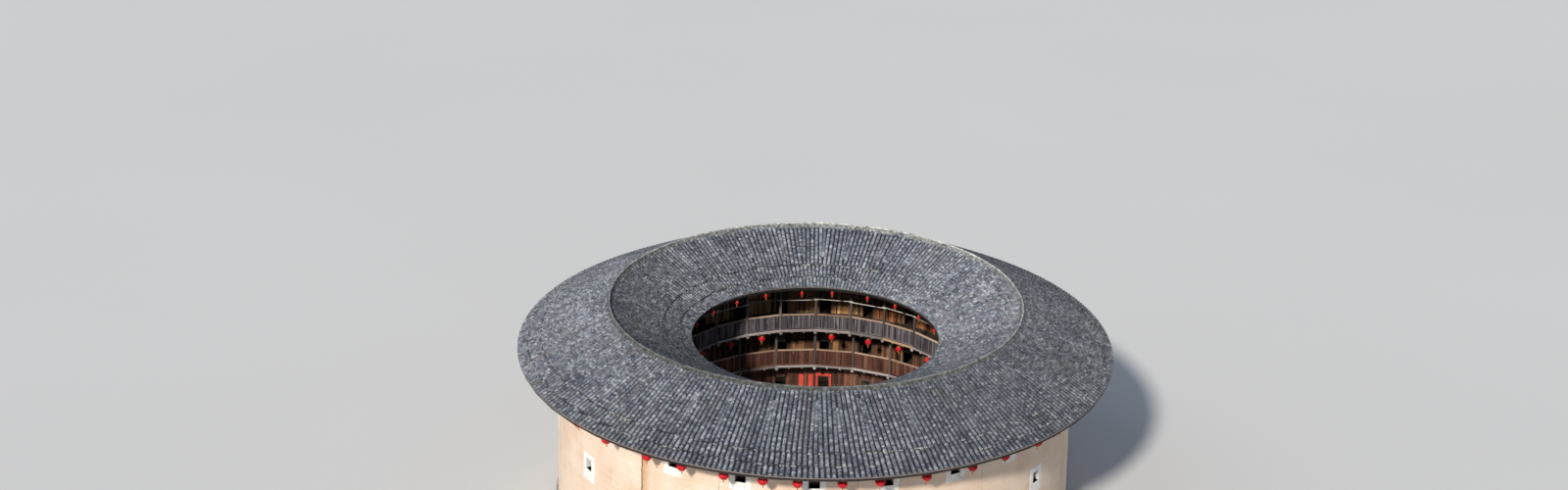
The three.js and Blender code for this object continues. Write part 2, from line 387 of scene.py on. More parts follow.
class Finish:
    """A procedural material on object coordinates."""

    def __init__(self, name, roughness=0.85):
        self.material = bpy.data.materials.new(name)
        self.material.use_nodes = True
        self.tree = self.material.node_tree
        self.shader = self.tree.nodes["Principled BSDF"]
        self.shader.inputs["Roughness"].default_value = roughness
        self.shader.inputs["Specular IOR Level"].default_value = 0.25
        self.place = put(self.tree, "ShaderNodeTexCoord").outputs["Object"]

    def stretch(self, x, y, z):
        """The object coordinates with each axis scaled."""
        return put(self.tree, "ShaderNodeMapping",
                   {"Vector": self.place, "Scale": (x, y, z)}).outputs[0]

    def grain(self, scale, detail=4.0, rough=0.6, vector=None, twist=0.0):
        """Noise from 0 to 1."""
        return put(self.tree, "ShaderNodeTexNoise",
                   {"Vector": vector or self.place, "Scale": scale, "Detail": detail,
                    "Roughness": rough, "Distortion": twist}).outputs["Fac"]

    def tint(self):
        """The random number that each copied piece carries."""
        return put(self.tree, "ShaderNodeAttribute", attribute_name="tint").outputs["Fac"]

    def math(self, operation, a, b=0.0):
        return put(self.tree, "ShaderNodeMath", {0: a, 1: b}, operation=operation).outputs[0]

    def times(self, a, b):
        return self.math("MULTIPLY", a, b)

    def plus(self, a, b):
        return self.math("ADD", a, b)

    def minus(self, a, b):
        return self.math("SUBTRACT", a, b)

    def blend(self, *parts):
        """The sum of values, each given with its weight."""
        terms = [self.times(value, weight) for value, weight in parts]
        total = terms[0]
        for term in terms[1:]:
            total = self.plus(total, term)
        return total

    def vector(self, operation, a, b=(0, 0, 0)):
        return put(self.tree, "ShaderNodeVectorMath", {0: a, 1: b}, operation=operation)

    def scaled(self, vector, factor):
        return put(self.tree, "ShaderNodeVectorMath", {0: vector, "Scale": factor},
                   operation="SCALE").outputs[0]

    def between(self, value, low, high):
        """0 below low, 1 above high, and smooth between."""
        return put(self.tree, "ShaderNodeMapRange",
                   {"Value": value, "From Min": low, "From Max": high},
                   interpolation_type="SMOOTHSTEP").outputs[0]

    def patches(self, low, high, scale, *how):
        """Noise cut to patches with soft edges."""
        return self.between(self.grain(scale, *how), low, high)

    def ramp(self, value, *stops, shade=1.0):
        """Colours at positions from 0 to 1."""
        made = put(self.tree, "ShaderNodeValToRGB", {"Fac": value})
        band = made.color_ramp
        while len(band.elements) < len(stops):
            band.elements.new(0.5)
        for element, (position, colour) in zip(band.elements, stops):
            element.position = position
            element.color = (*(c * shade for c in colour), 1)
        return made.outputs["Color"]

    def mix(self, share, a, b, way="MIX"):
        """Colour a with b over it."""
        made = put(self.tree, "ShaderNodeMix", data_type="RGBA", blend_type=way)
        for socket, value in ((0, share), (6, a), (7, b)):
            if isinstance(value, bpy.types.NodeSocket):
                self.tree.links.new(value, made.inputs[socket])
            else:
                made.inputs[socket].default_value = (*value, 1) if socket > 0 else value
        return made.outputs[2]

    def over(self, base, mask, share, colour, shade=1.0):
        """The base with a colour over it where the mask is, at most by the share."""
        return self.mix(self.times(mask, share), base, [c * shade for c in colour])

    def outward(self):
        """The level direction away from the axis."""
        level = self.vector("MULTIPLY", self.place, (1, 1, 0)).outputs[0]
        return self.vector("NORMALIZE", level).outputs[0]

    def facing(self, side):
        """1 at the azimuth of side, and -1 across the ring."""
        return self.vector("DOT_PRODUCT", self.outward(), at(1, side, 0)).outputs["Value"]

    def painted_side_light(self, colour, side, paler):
        """Painted light: the colour made paler towards the azimuth of side, and darker across the ring,
        as if lit from that side.
        """
        return self.scaled(colour, self.plus(1.0, self.times(self.facing(side), paler)))

    def done(self, colour, height, strength, distance):
        """The material with its colour, and the height as its bump."""
        made = put(self.tree, "ShaderNodeBump",
                   {"Height": height, "Strength": strength, "Distance": distance})
        self.tree.links.new(made.outputs[0], self.shader.inputs["Normal"])
        self.tree.links.new(colour, self.shader.inputs["Base Color"])
        return self.material


def tile_finish(name, shade, paler, side, step_shade_rings):
    """Weathered grey fired tile, each tile its own tone, with lichen flecks and brown drifts.

    Painted light: one side of the ring is painted paler and the side across it darker; side is its
    azimuth, and paler says how much.
    Tones drift down the columns, and on one side painted shade darkens the tiles at the steps, the
    radii of the step shade rings.
    """
    f = Finish(name, 0.82)
    radius = f.vector("DOT_PRODUCT", f.place, f.outward()).outputs["Value"]
    round_ring = f.scaled(f.outward(), RIDGE_R)
    down = put(f.tree, "ShaderNodeCombineXYZ", {2: f.times(radius, 0.22)}).outputs[0]
    drift = f.vector("ADD", round_ring, down).outputs[0]
    tone = f.blend((f.tint(), 0.25), (f.grain(0.45, 3.0), 0.24),
                   (f.grain(1.8, 3.0, 0.6, drift), 0.34), (f.grain(9.0, 3.0), 0.85))
    tile = f.ramp(f.minus(tone, 0.35), (0.22, (0.028, 0.032, 0.044)), (0.38, (0.085, 0.093, 0.116)),
                  (0.50, (0.165, 0.178, 0.208)), (0.62, (0.275, 0.293, 0.328)),
                  (0.78, (0.490, 0.515, 0.545)), shade=shade)
    brown = f.patches(0.52, 0.64, 1.4, 4.0, 0.7, drift)
    teal = f.patches(0.54, 0.66, 1.45, 3.0)
    flecks = f.patches(0.60, 0.68, 19.0, 2.0)
    newer = f.between(f.tint(), 0.93, 0.98)
    for mask, share, colour in ((brown, 0.40, (0.155, 0.118, 0.120)),
                                (teal, 0.34, (0.165, 0.205, 0.215)),
                                (flecks, 0.50, (0.56, 0.58, 0.55)),
                                (newer, 0.50, (0.47, 0.50, 0.51))):
        tile = f.over(tile, mask, share, colour, shade)
    spots = f.patches(0.60, 0.68, 13.0, 2.0, 0.6, f.stretch(1.0, 1.0, 1.3))
    tile = f.over(tile, spots, 0.55, (0.035, 0.037, 0.045))
    tile = f.over(tile, f.patches(0.64, 0.72, 1.6), 0.30, (0.21, 0.21, 0.11))
    # Painted shade: patches of darker tile at the steps, on the left side of the ring only.
    step_shade_side = f.between(f.facing(deg(-83)), -0.6, 0.4)
    step_shade = f.times(f.times(f.patches(0.36, 0.52, 1.2, 3.0), step_shade_side), 0.72)
    for ring in step_shade_rings:
        near = f.between(f.math("ABSOLUTE", f.minus(radius, ring)), 0.065, 0.035)
        tile = f.over(tile, near, step_shade, (0.020, 0.021, 0.026))
    # Painted shade: tiles on the ring's side at azimuth 58 degrees are darkened.
    painted_shade_right = f.between(f.facing(deg(58)), 0.80, 0.97)
    tile = f.over(tile, painted_shade_right, 0.24, (0.040, 0.043, 0.055))
    # Painted light: the tiles are made paler towards side and darker across the ring.
    return f.done(f.painted_side_light(tile, side, paler), f.grain(60.0, 5.0, 0.7), 0.35, 0.01)


def channel_finish():
    """The tile channels and clay bed between the columns, painted near black: painted shade between the
    columns.
    """
    f = Finish("tile_channel", 0.9)
    tone = f.blend((f.tint(), 0.4), (f.grain(5.0), 0.6))
    clay = f.ramp(tone, (0.2, (0.010, 0.011, 0.017)), (0.55, (0.026, 0.029, 0.041)),
                  (0.9, (0.070, 0.074, 0.090)))
    return f.done(clay, f.grain(40.0), 0.4, 0.01)


def mortar_finish(name, shade, paler=0.0):
    """Lime mortar gone grey and yellow with lichen, dark where water runs, and by paler painted light
    making it paler across the court and darker on the near side.
    """
    f = Finish(name, 0.95)
    lime = f.ramp(f.grain(3.2, 6.0, 0.7), (0.28, (0.07, 0.07, 0.070)), (0.45, (0.17, 0.17, 0.162)),
                  (0.58, (0.31, 0.31, 0.295)), (0.75, (0.55, 0.545, 0.52)), shade=shade)
    lime = f.over(lime, f.patches(0.52, 0.62, 5.5, 5.0), 0.14, (0.28, 0.265, 0.18))
    lime = f.over(lime, f.patches(0.58, 0.68, 11.0, 4.0, 0.7), 0.6, (0.05, 0.048, 0.042))
    # Painted light: paler towards the far side of the court and darker on the near side, by paler.
    return f.done(f.painted_side_light(lime, ACROSS_COURT, paler), f.grain(22.0, 6.0, 0.7), 0.6, 0.02)


def flank_finish():
    """Older mortar on the ridge's flanks, blackened and mossy, close to the tiles in tone; painted
    light makes it paler across the court and darker on the near side.
    """
    f = Finish("flank_mortar", 0.95)
    lime = f.ramp(f.grain(4.5, 6.0, 0.75), (0.32, (0.022, 0.024, 0.028)), (0.46, (0.090, 0.093, 0.092)),
                  (0.57, (0.215, 0.218, 0.208)), (0.72, (0.46, 0.46, 0.435)))
    lime = f.over(lime, f.patches(0.50, 0.62, 2.2), 0.26, (0.135, 0.128, 0.085))
    # Painted light: paler towards the far side of the court and darker on the near side.
    return f.done(f.painted_side_light(lime, ACROSS_COURT, 0.48), f.grain(25.0), 0.6, 0.02)


def earth_finish():
    """Rammed earth in thin lifts, with pits, cracks, water stains and a paler worn skin."""
    f = Finish("rammed_earth", 0.93)
    x, y, z = put(f.tree, "ShaderNodeSeparateXYZ", {0: f.place}).outputs
    azimuth = f.math("ARCTAN2", x, f.times(y, -1.0))
    sheet = put(f.tree, "ShaderNodeCombineXYZ", {0: f.times(azimuth, WALL_FOOT_R), 1: z}).outputs[0]
    lifts = put(f.tree, "ShaderNodeTexBrick",
                {"Vector": sheet, "Color1": (0.0, 0.0, 0.0, 1), "Color2": (1.0, 1.0, 1.0, 1),
                 "Mortar": (0.5, 0.5, 0.5, 1), "Scale": 1.0, "Mortar Size": 0.008,
                 "Mortar Smooth": 0.6, "Bias": 0.0, "Brick Width": 1.9, "Row Height": 0.36})
    layers = f.grain(1.0, 5.0, 0.65, f.stretch(0.5, 0.5, 17.0))
    tone = f.blend((layers, 0.22), (f.grain(0.55, 5.0), 0.40), (f.grain(26.0, 4.0, 0.7), 0.40))
    earth = f.ramp(tone, (0.38, (0.60, 0.425, 0.295)), (0.46, (0.70, 0.53, 0.395)),
                   (0.54, (0.755, 0.60, 0.47)), (0.66, (0.80, 0.675, 0.56)))
    earth = f.mix(0.06, earth, lifts.outputs["Color"], "SOFT_LIGHT")
    seams = f.times(lifts.outputs["Fac"], f.patches(0.46, 0.62, 2.2, 3.0))
    earth = f.over(earth, seams, 0.28, (0.40, 0.26, 0.17))
    cells = put(f.tree, "ShaderNodeTexVoronoi", {"Vector": f.place, "Scale": 2.3})
    pits = f.between(cells.outputs["Distance"], 0.070, 0.045)
    few_shaded_pits = f.times(pits, f.patches(0.50, 0.58, 1.3, 2.0))
    # Painted shade: the few pits are darkened inside.
    earth = f.over(earth, few_shaded_pits, 0.80, (0.16, 0.10, 0.065))
    streaks = f.patches(0.58, 0.74, 1.0, 4.0, 0.6, f.stretch(2.6, 2.6, 0.16))
    earth = f.over(earth, streaks, 0.08, (0.46, 0.34, 0.25))
    earth = upright_cracks(f, azimuth, earth)
    damp = f.times(f.between(z, 1.5, 0.35), f.patches(0.30, 0.62, 0.9))
    earth = f.over(earth, damp, 0.6, (0.30, 0.235, 0.165))
    earth = leak_stain(f, azimuth, z, earth)
    relief = f.minus(f.blend((layers, 0.25), (f.grain(16.0), 0.6)), f.times(pits, 0.6))
    return f.done(earth, f.minus(relief, f.times(seams, 0.3)), 0.30, 0.02)


def upright_cracks(f, azimuth, under):
    """Fine cracks down the wall where its lengths of earthwork meet, broken here and there."""
    wander = f.times(f.minus(f.grain(0.9, 5.0), 0.5), 0.016)
    turn = f.plus(f.minus(azimuth, CRACK_AZIMUTH), wander)
    share = f.math("FRACT", f.plus(f.math("DIVIDE", turn, CRACK_SPACING), 0.5))
    line = f.between(f.math("ABSOLUTE", f.minus(share, 0.5)), 0.0030, 0.0012)
    whole = f.patches(0.40, 0.50, 0.45, 3.0)
    return f.over(under, f.times(line, whole), 0.6, (0.22, 0.135, 0.085))


def leak_stain(f, azimuth, z, under):
    """A dark line down the wall below a leak in the eave, with an orange wash beside it."""
    wander = f.times(f.minus(f.grain(1.2), 0.5), 0.010)
    off = f.plus(f.minus(azimuth, LEAK_AZIMUTH), wander)
    line = f.times(f.between(f.math("ABSOLUTE", off), 0.0032, 0.0020), f.between(z, 3.0, 6.5))
    wash = f.times(f.between(off, 0.050, 0.000), f.between(off, -0.003, 0.001))
    wash = f.times(wash, f.patches(0.20, 0.50, 3.0))
    wash = f.times(wash, f.between(z, 3.0, 7.5))
    return f.over(f.over(under, wash, 0.85, (0.50, 0.27, 0.10)), line, 0.9, (0.075, 0.045, 0.03))


def plaster_finish():
    """Lime plaster round the windows, grimy where rain runs down."""
    f = Finish("white_plaster", 0.9)
    base = f.ramp(f.grain(2.4, 5.0, 0.7), (0.30, (0.60, 0.56, 0.49)), (0.48, (0.80, 0.78, 0.73)),
                  (0.70, (0.90, 0.89, 0.86)))
    grime = f.patches(0.58, 0.72, 1.0, 4.0, 0.6, f.stretch(5.0, 5.0, 0.5))
    return f.done(f.over(base, grime, 0.45, (0.42, 0.37, 0.30)), f.grain(18.0, 5.0), 0.35, 0.012)


def stone_finish():
    """River stone in greys and browns, mossy here and there."""
    f = Finish("footing_stone", 0.88)
    base = f.ramp(f.blend((f.tint(), 0.5), (f.grain(4.0, 6.0), 0.6)), (0.25, (0.13, 0.125, 0.115)),
                  (0.50, (0.28, 0.265, 0.24)), (0.75, (0.44, 0.42, 0.38)), (0.95, (0.56, 0.54, 0.49)))
    mossy = f.over(base, f.patches(0.55, 0.68, 1.8, 5.0), 0.4, (0.10, 0.115, 0.055))
    return f.done(mossy, f.grain(20.0, 6.0, 0.65), 0.6, 0.02)


def wood_finish(name, dark, mid, light, silver, rough=0.8, fibre=(9.0, 9.0, 0.9), redder=0.0):
    """Boards or timbers with upright fibre, each piece its own tone, redder beyond the hall door."""
    f = Finish(name, rough)
    fibres = f.grain(4.0, 6.0, 0.65, f.stretch(*fibre), 0.4)
    tone = f.blend((f.tint(), 0.48), (fibres, 0.42), (f.grain(0.8, 3.0), 0.18))
    wood = f.ramp(tone, (0.25, dark), (0.55, mid), (0.85, light))
    if redder:
        east = put(f.tree, "ShaderNodeSeparateXYZ", {0: f.place}).outputs["X"]
        beyond_door = f.times(f.between(east, 2.0, 2.4), redder)
        wood = f.mix(beyond_door, wood, (0.40, 0.19, 0.13), "MULTIPLY")
    worn = f.patches(0.56, 0.70, 2.0, 4.0, 0.6, f.stretch(fibre[0], fibre[1], fibre[2] * 0.5))
    return f.done(f.over(wood, worn, silver, (0.52, 0.50, 0.48)), fibres, 0.4, 0.012)


def cloth_finish(name, colour, edge, shine):
    """Stretched lantern cloth or its gilt trim."""
    f = Finish(name, shine)
    return f.done(f.mix(f.patches(0.45, 0.65, 14.0, 3.0), colour, edge), f.grain(70.0), 0.2, 0.004)


def paint_finish():
    """Red oil paint, worn to the wood."""
    f = Finish("red_paint", 0.6)
    worn = f.patches(0.56, 0.66, 9.0, 5.0, 0.7)
    red = f.mix(f.grain(1.5), (0.52, 0.035, 0.03), (0.74, 0.09, 0.055))
    return f.done(f.over(red, worn, 0.5, (0.66, 0.30, 0.16)), f.grain(30.0), 0.3, 0.008)


# Painted light: each tile finish is paler towards its side azimuth and darker across the ring.
TILE = tile_finish("roof_tile", 0.785, 0.30, deg(-32), (15.985, 16.735))
COURT_TILE = tile_finish("court_roof_tile", 0.79, 0.52, deg(150), (8.865, 7.965))
SHADED_CHANNEL = channel_finish()
MORTAR = mortar_finish("ridge_mortar", 1.0)
# Painted light: the crest is paler across the court and darker on the near side.
CREST_MORTAR = mortar_finish("crest_mortar", 1.35, 0.62)
STEP_MORTAR = mortar_finish("step_mortar", 1.45)
FLANK_MORTAR = flank_finish()
EARTH = earth_finish()
PLASTER = plaster_finish()
STONE = stone_finish()
DARK_TIMBER = wood_finish("dark_timber", (0.022, 0.014, 0.010), (0.060, 0.038, 0.026),
                          (0.135, 0.092, 0.065), 0.10)
POST_TIMBER = wood_finish("post_timber", (0.050, 0.038, 0.032), (0.115, 0.090, 0.078),
                          (0.21, 0.175, 0.155), 0.15)
BEAM_TIMBER = wood_finish("beam_timber", (0.030, 0.020, 0.014), (0.080, 0.052, 0.036),
                          (0.17, 0.12, 0.085), 0.12, 0.8, (3.0, 3.0, 3.0))
RED_BOARD = wood_finish("red_brown_board", (0.030, 0.012, 0.010), (0.095, 0.036, 0.024),
                        (0.25, 0.110, 0.066), 0.08)
TAN_BOARD = wood_finish("tan_board", (0.050, 0.020, 0.011), (0.165, 0.072, 0.034),
                        (0.42, 0.215, 0.105), 0.05)
# Painted light: the third storey's tan boards are much brighter than the second's, as if in sun.
LIT_TAN_BOARD = wood_finish("third_tan_board", (0.19, 0.088, 0.034), (0.56, 0.300, 0.125),
                              (0.84, 0.53, 0.26), 0.06, redder=0.85)
GREY_BOARD = wood_finish("grey_board", (0.029, 0.024, 0.029), (0.080, 0.069, 0.079),
                         (0.20, 0.178, 0.192), 0.42)
RAIL_TIMBER = wood_finish("rail_timber", (0.20, 0.125, 0.085), (0.42, 0.28, 0.20),
                          (0.62, 0.46, 0.35), 0.20, 0.75, (3.0, 3.0, 3.0))
EDGE_TIMBER = wood_finish("edge_timber", (0.16, 0.135, 0.130), (0.34, 0.295, 0.280),
                          (0.54, 0.49, 0.47), 0.25, 0.85, (3.0, 3.0, 3.0))
PALE_POLE = wood_finish("pale_pole", (0.30, 0.255, 0.220), (0.50, 0.45, 0.41),
                        (0.70, 0.66, 0.62), 0.20, 0.7, (3.0, 3.0, 3.0))
LOG_END = wood_finish("log_end", (0.16, 0.140, 0.122), (0.33, 0.295, 0.265),
                      (0.52, 0.48, 0.45), 0.15, 0.85, (3.0, 3.0, 3.0))
# Painted shade: both eave boards are near black, to read as the shade under the eaves.
SHADED_FASCIA = wood_finish("eave_board", (0.020, 0.017, 0.015), (0.050, 0.042, 0.038),
                         (0.11, 0.094, 0.086), 0.05, 0.85, (3.0, 3.0, 3.0))
SHADED_COURT_FASCIA = wood_finish("court_eave_board", (0.010, 0.008, 0.007), (0.026, 0.020, 0.017),
                               (0.060, 0.048, 0.042), 0.03, 0.85, (3.0, 3.0, 3.0))
FRESH_BOARD = wood_finish("fresh_board", (0.42, 0.26, 0.15), (0.60, 0.40, 0.25),
                          (0.74, 0.54, 0.37), 0.05, 0.75, (3.0, 3.0, 3.0))
LANTERN_RED = cloth_finish("lantern_red", (0.56, 0.010, 0.018), (0.36, 0.005, 0.010), 0.55)
LANTERN_GILT = cloth_finish("lantern_gilt", (0.50, 0.17, 0.05), (0.42, 0.03, 0.02), 0.40)
RED_PAINT = paint_finish()


# Roof

Slope = namedtuple("Slope", "name way top steps eave fall narrow wide band_pitches")
OUTER = Slope("outer", 1, 12.12, (15.95, 16.70), EAVE_R - 0.045, OUTER_FALL, 319, 360,
              (0.285, 0.295))
INNER = Slope("inner", -1, 11.88, (8.90, 8.00), INNER_EAVE_R + 0.012, INNER_FALL, 228, 270,
              (0.240, 0.218))
BAND_DROP = 0.031
COVER_LIFT = -0.030
PAN_LIFT = -0.050
BED_LIFT = -0.066
BED_UNDER = 0.150


def roof_height(slope, radius):
    """Height of the tile surface's middle plane."""
    return APEX_Z - slope.fall * abs(radius - RIDGE_R)


def slope_point(slope, radius, azimuth):
    return Vector(at(radius, azimuth, roof_height(slope, radius)))


def sector_sizes(slope, rng):
    """Columns at the narrow end of each sector: uneven, and adding up to the slope's count."""
    joints = slope.wide - slope.narrow
    sizes = [slope.narrow // joints + (k < slope.narrow % joints) for k in range(joints)]
    for _ in range(2 * joints):
        i, j = rng.randrange(joints), rng.randrange(joints)
        if sizes[i] > 5:
            sizes[i] -= 1
            sizes[j] += 1
    return sizes


def fan_columns(slope, channels=False):
    """Upper point, lower point and kind of each column in the fanned main field.

    Every sector gains one column towards its wide end, where its neighbours have spread enough.
    """
    rng = random.Random(slope.wide)
    ends = sorted((slope.top, slope.steps[0]))
    azimuth = 0.0
    for size in sector_sizes(slope, rng):
        width = tau * (size + 0.5) / ((slope.narrow + slope.wide) / 2)
        slot = rng.randrange(size)
        opening = rng.uniform(0.15, 0.30)
        half = 0.0 if channels else 0.5
        columns = [(j + half, j + half + (j > slot or j == slot and not channels), 0.0)
                   for j in range(size)]
        columns.append((slot, slot + 1 - half, opening))
        for narrow, wide, share in columns:
            near = slope_point(slope, ends[0], azimuth + width * narrow / size)
            far = slope_point(slope, ends[1], azimuth + width * wide / (size + 1))
            start = near.lerp(far, share)
            yield (start, far, share > 0) if slope.way > 0 else (far, start, share > 0)
        azimuth += width


def band_columns(slope, band, channels=False):
    """The evenly spaced columns of one of the two lower bands."""
    upper, lower = (slope.steps + (slope.eave,))[band - 1:band + 1]
    count = round(tau * (upper + lower) / 2 / slope.band_pitches[band - 1])
    for k in range(count):
        azimuth = tau * (k + (0 if channels else 0.5)) / count + band * 0.003
        yield slope_point(slope, upper, azimuth), slope_point(slope, lower, azimuth)


def column_line(upper, lower, lift, step=TILE_STEP):
    """The line that a column of tiles follows, short of each end by half a tile."""
    inset = (lower - upper).normalized() * step / 2
    raised = Vector((0, 0, lift))
    return tuple(upper + inset + raised), tuple(lower - inset + raised)


def half_turn(count):
    """Angles from 0 to half a turn."""
    return [pi * k / (count - 1) for k in range(count)]


def cover_tile():
    """One convex tile: its upper end narrower, its lower end raised with a thick lip."""
    shape = Shape()
    arcs = 5
    angles = half_turn(arcs)

    def arch(width, height, y, lift):
        return [(width / 2 * cos(t), y, lift + height * sin(t) ** 0.8) for t in angles]

    back, front = -0.100, TILE_STEP / 2
    upper = arch(COVER_WIDTH * 0.86, 0.071, back, -0.006)
    lower = arch(COVER_WIDTH, 0.080, front, 0.014)
    under = arch(COVER_WIDTH * 0.80, 0.060, front, 0.010)
    shape.points = upper + lower + under
    for row in (0, arcs):
        shape.faces += [(row + k, row + arcs + k, row + arcs + k + 1, row + k + 1)
                        for k in range(arcs - 1)]
    return shape


def pan_tile():
    """One channel tile: a shallow trough with a lip at its lower end."""
    shape = Shape()
    half, back, front = 0.105, -0.125, CHANNEL_STEP / 2
    shape.points = [(half, back, 0.012), (0, back, -0.006), (-half, back, 0.012),
                    (half, front, 0.026), (0, front, 0.006), (-half, front, 0.026),
                    (half, front, 0.010), (0, front, -0.010), (-half, front, 0.010)]
    shape.faces = [(0, 3, 4, 1), (1, 4, 5, 2), (3, 6, 7, 4), (4, 7, 8, 5)]
    return shape


def end_plug():
    """The mortar that closes the lower end of a column of tiles. It faces -Y."""
    shape = Shape()
    arcs = 7
    front, back = -0.010, 0.030
    rim = [(cos(t) * COVER_WIDTH * 0.47, sin(t) * 0.073 + 0.002)
           for t in half_turn(arcs)]
    shape.points = [(x, y, z) for y in (front, back) for x, z in rim]
    shape.faces = [tuple(range(arcs)), tuple(reversed(range(arcs, 2 * arcs)))]
    shape.faces += [(k + arcs, (k + 1) % arcs + arcs, (k + 1) % arcs, k) for k in range(arcs)]
    return shape


def bed_profile(slope):
    """Closed section of the clay bed and boards, stepped down at each band."""
    way = slope.way
    ends = (RIDGE_R + way * 0.02,) + slope.steps + (slope.eave - way * 0.03,)
    points = []
    for band in range(3):
        for radius in (ends[band] + (way * 0.01 if band else 0), ends[band + 1]):
            points.append((radius, roof_height(slope, radius) + BED_LIFT - band * BAND_DROP))
    points += [(radius, roof_height(slope, radius) - BED_UNDER) for radius in (ends[-1], ends[0])]
    return points if way < 0 else points[::-1]


def dress_slope(slope, node, finish, seed):
    """All the tiles, plugs and the bed of one slope."""
    fan = list(fan_columns(slope))
    bands = [(band, *ends) for band in (1, 2) for ends in band_columns(slope, band)]
    covers = [column_line(upper, lower, COVER_LIFT) for upper, lower, _ in fan]
    low_covers = [column_line(upper, lower, COVER_LIFT - band * BAND_DROP)
                  for band, upper, lower in bands]
    pans = [column_line(upper, lower, PAN_LIFT - 0.004 * late, CHANNEL_STEP)
            for upper, lower, late in fan_columns(slope, True)]
    pans += [column_line(upper, lower, PAN_LIFT - band * BAND_DROP, CHANNEL_STEP)
             for band in (1, 2) for upper, lower in band_columns(slope, band, True)]
    for order, (part, lines) in enumerate((("_cover_tiles", covers), ("_eave_tiles", low_covers))):
        lay_along(slope.name + part, lines, cover_tile(), TILE_STEP, finish, "roof_tile",
                  seed + order, deg(2.6), 0.06)
    lay_along(slope.name + "_channel_tiles", pans, pan_tile(), CHANNEL_STEP, SHADED_CHANNEL, "roof_tile",
              seed + 2, deg(1.5), 0.03)
    feet = [(0, upper, lower) for upper, lower, late in fan if slope.way > 0 or not late] + bands
    dress_ends(slope, feet, seed)
    dress_steps(slope, feet, seed)
    ring_piece(slope.name + "_roof_bed", bed_profile(slope), 208, SHADED_CHANNEL, "roof_tile", node)


def azimuth_of(point):
    return math.atan2(point.x, -point.y)


def dress_ends(slope, feet, seed):
    """Mortar at the lower ends: nearly all at the eave, a quarter at the steps."""
    rng = random.Random(seed)
    facing = 0 if slope.way > 0 else pi
    spots = []
    for band, _, lower in feet:
        if rng.random() > (0.93 if band == 2 else 0.25):
            continue
        wide = rng.uniform(0.9, 1.05 if band == 2 else 1.4)
        place = lower + Vector((0, 0, COVER_LIFT - band * BAND_DROP + 0.004))
        spots.append(Spot(azimuth_of(lower) + facing, place, (wide, 1, rng.uniform(0.9, 1.05))))
    set_around(slope.name + "_tile_ends", spots, end_plug(), MORTAR, "ridge_mortar", seed + 5,
               deg(2.0), 0.03)


def mortar_lump():
    """A rough dab of mortar, about a tile wide."""
    shape = Shape()
    shape.turned([(0.07, -0.02), (0.10, 0.02), (0.075, 0.045), (0.03, 0.056)], 8)
    return shape


def dress_steps(slope, feet, seed):
    """Dabs of mortar on the tiles just below the two steps, some one and some two columns wide."""
    rng = random.Random(seed + 8)
    spots = []
    for band, upper, lower in feet:
        if band == 2 or rng.random() > (0.32 if noise.noise(lower * 0.35) > 0.0 else 0.12):
            continue
        azimuth = azimuth_of(lower)
        beyond = (lower - upper).normalized() * rng.uniform(0.02, 0.05)
        for side in (-0.05, 0.05):
            aside = Vector(at(1, azimuth + pi / 2, 0)) * (side + rng.uniform(-0.03, 0.03))
            place = lower + beyond + aside + Vector((0, 0, 0.010 - (band + 1) * BAND_DROP))
            size = (rng.uniform(0.45, 1.0), rng.uniform(0.35, 0.65), rng.uniform(0.8, 1.2))
            spots.append(Spot(azimuth, place, size))
    set_around(slope.name + "_step_mortar", spots, mortar_lump(), STEP_MORTAR, "ridge_mortar",
               seed + 6, deg(9), 0.15)


def dress_joints(slope, seed):
    """Dabs of mortar where columns start or stop inside the field."""
    rng = random.Random(seed)
    spots = []
    for upper, lower, late in fan_columns(slope):
        if not late or rng.random() < 0.3:
            continue
        for _ in range(2):
            shift = Vector((rng.uniform(-0.08, 0.08), rng.uniform(-0.08, 0.08), -0.03))
            size = [rng.uniform(0.6, 1.2) for _ in range(3)]
            end = upper if slope.way > 0 else lower
            spots.append(Spot(rng.uniform(0, 6), end + shift, size))
    set_around(slope.name + "_joint_mortar", spots, mortar_lump(), FLANK_MORTAR, "ridge_mortar",
               seed, deg(8), 0.1)


def ridge_wobble(radius, azimuth, height):
    """Hand-laid unevenness, kept under the solid's top."""
    spot = Vector(at(radius, azimuth, height))
    rise = 0.010 * noise.noise(spot * 2.1) + 0.012 * noise.noise(spot * 6.0)
    slip = 0.022 * noise.noise(spot * 1.1 + Vector((9, 0, 0)))
    slip += 0.012 * noise.noise(spot * 5.0 + Vector((0, 9, 0)))
    return radius + slip, min(height + rise, RIDGE_TOP - 0.002)


def dress_ridge():
    """The low mortared ring over the top tiles, and the pale line of capping along its crest."""
    flanks = [(11.78, 12.20), (12.22, 12.20), (12.19, 12.35), (12.13, 12.42), (12.07, 12.47),
              (12.045, 12.53), (11.955, 12.53), (11.93, 12.47), (11.87, 12.42), (11.81, 12.34)]
    ring_piece("ridge_mound", flanks, 520, FLANK_MORTAR, "ridge_mortar", "ridge",
               wobble=ridge_wobble)
    head = RIDGE_TOP - 0.020
    crest = [(11.950, 12.47), (12.050, 12.47), (12.052, head - 0.025), (12.026, head),
             (11.974, head), (11.948, head - 0.025)]
    ring_piece("ridge_crest", crest, 520, CREST_MORTAR, "ridge_mortar", wobble=ridge_wobble)


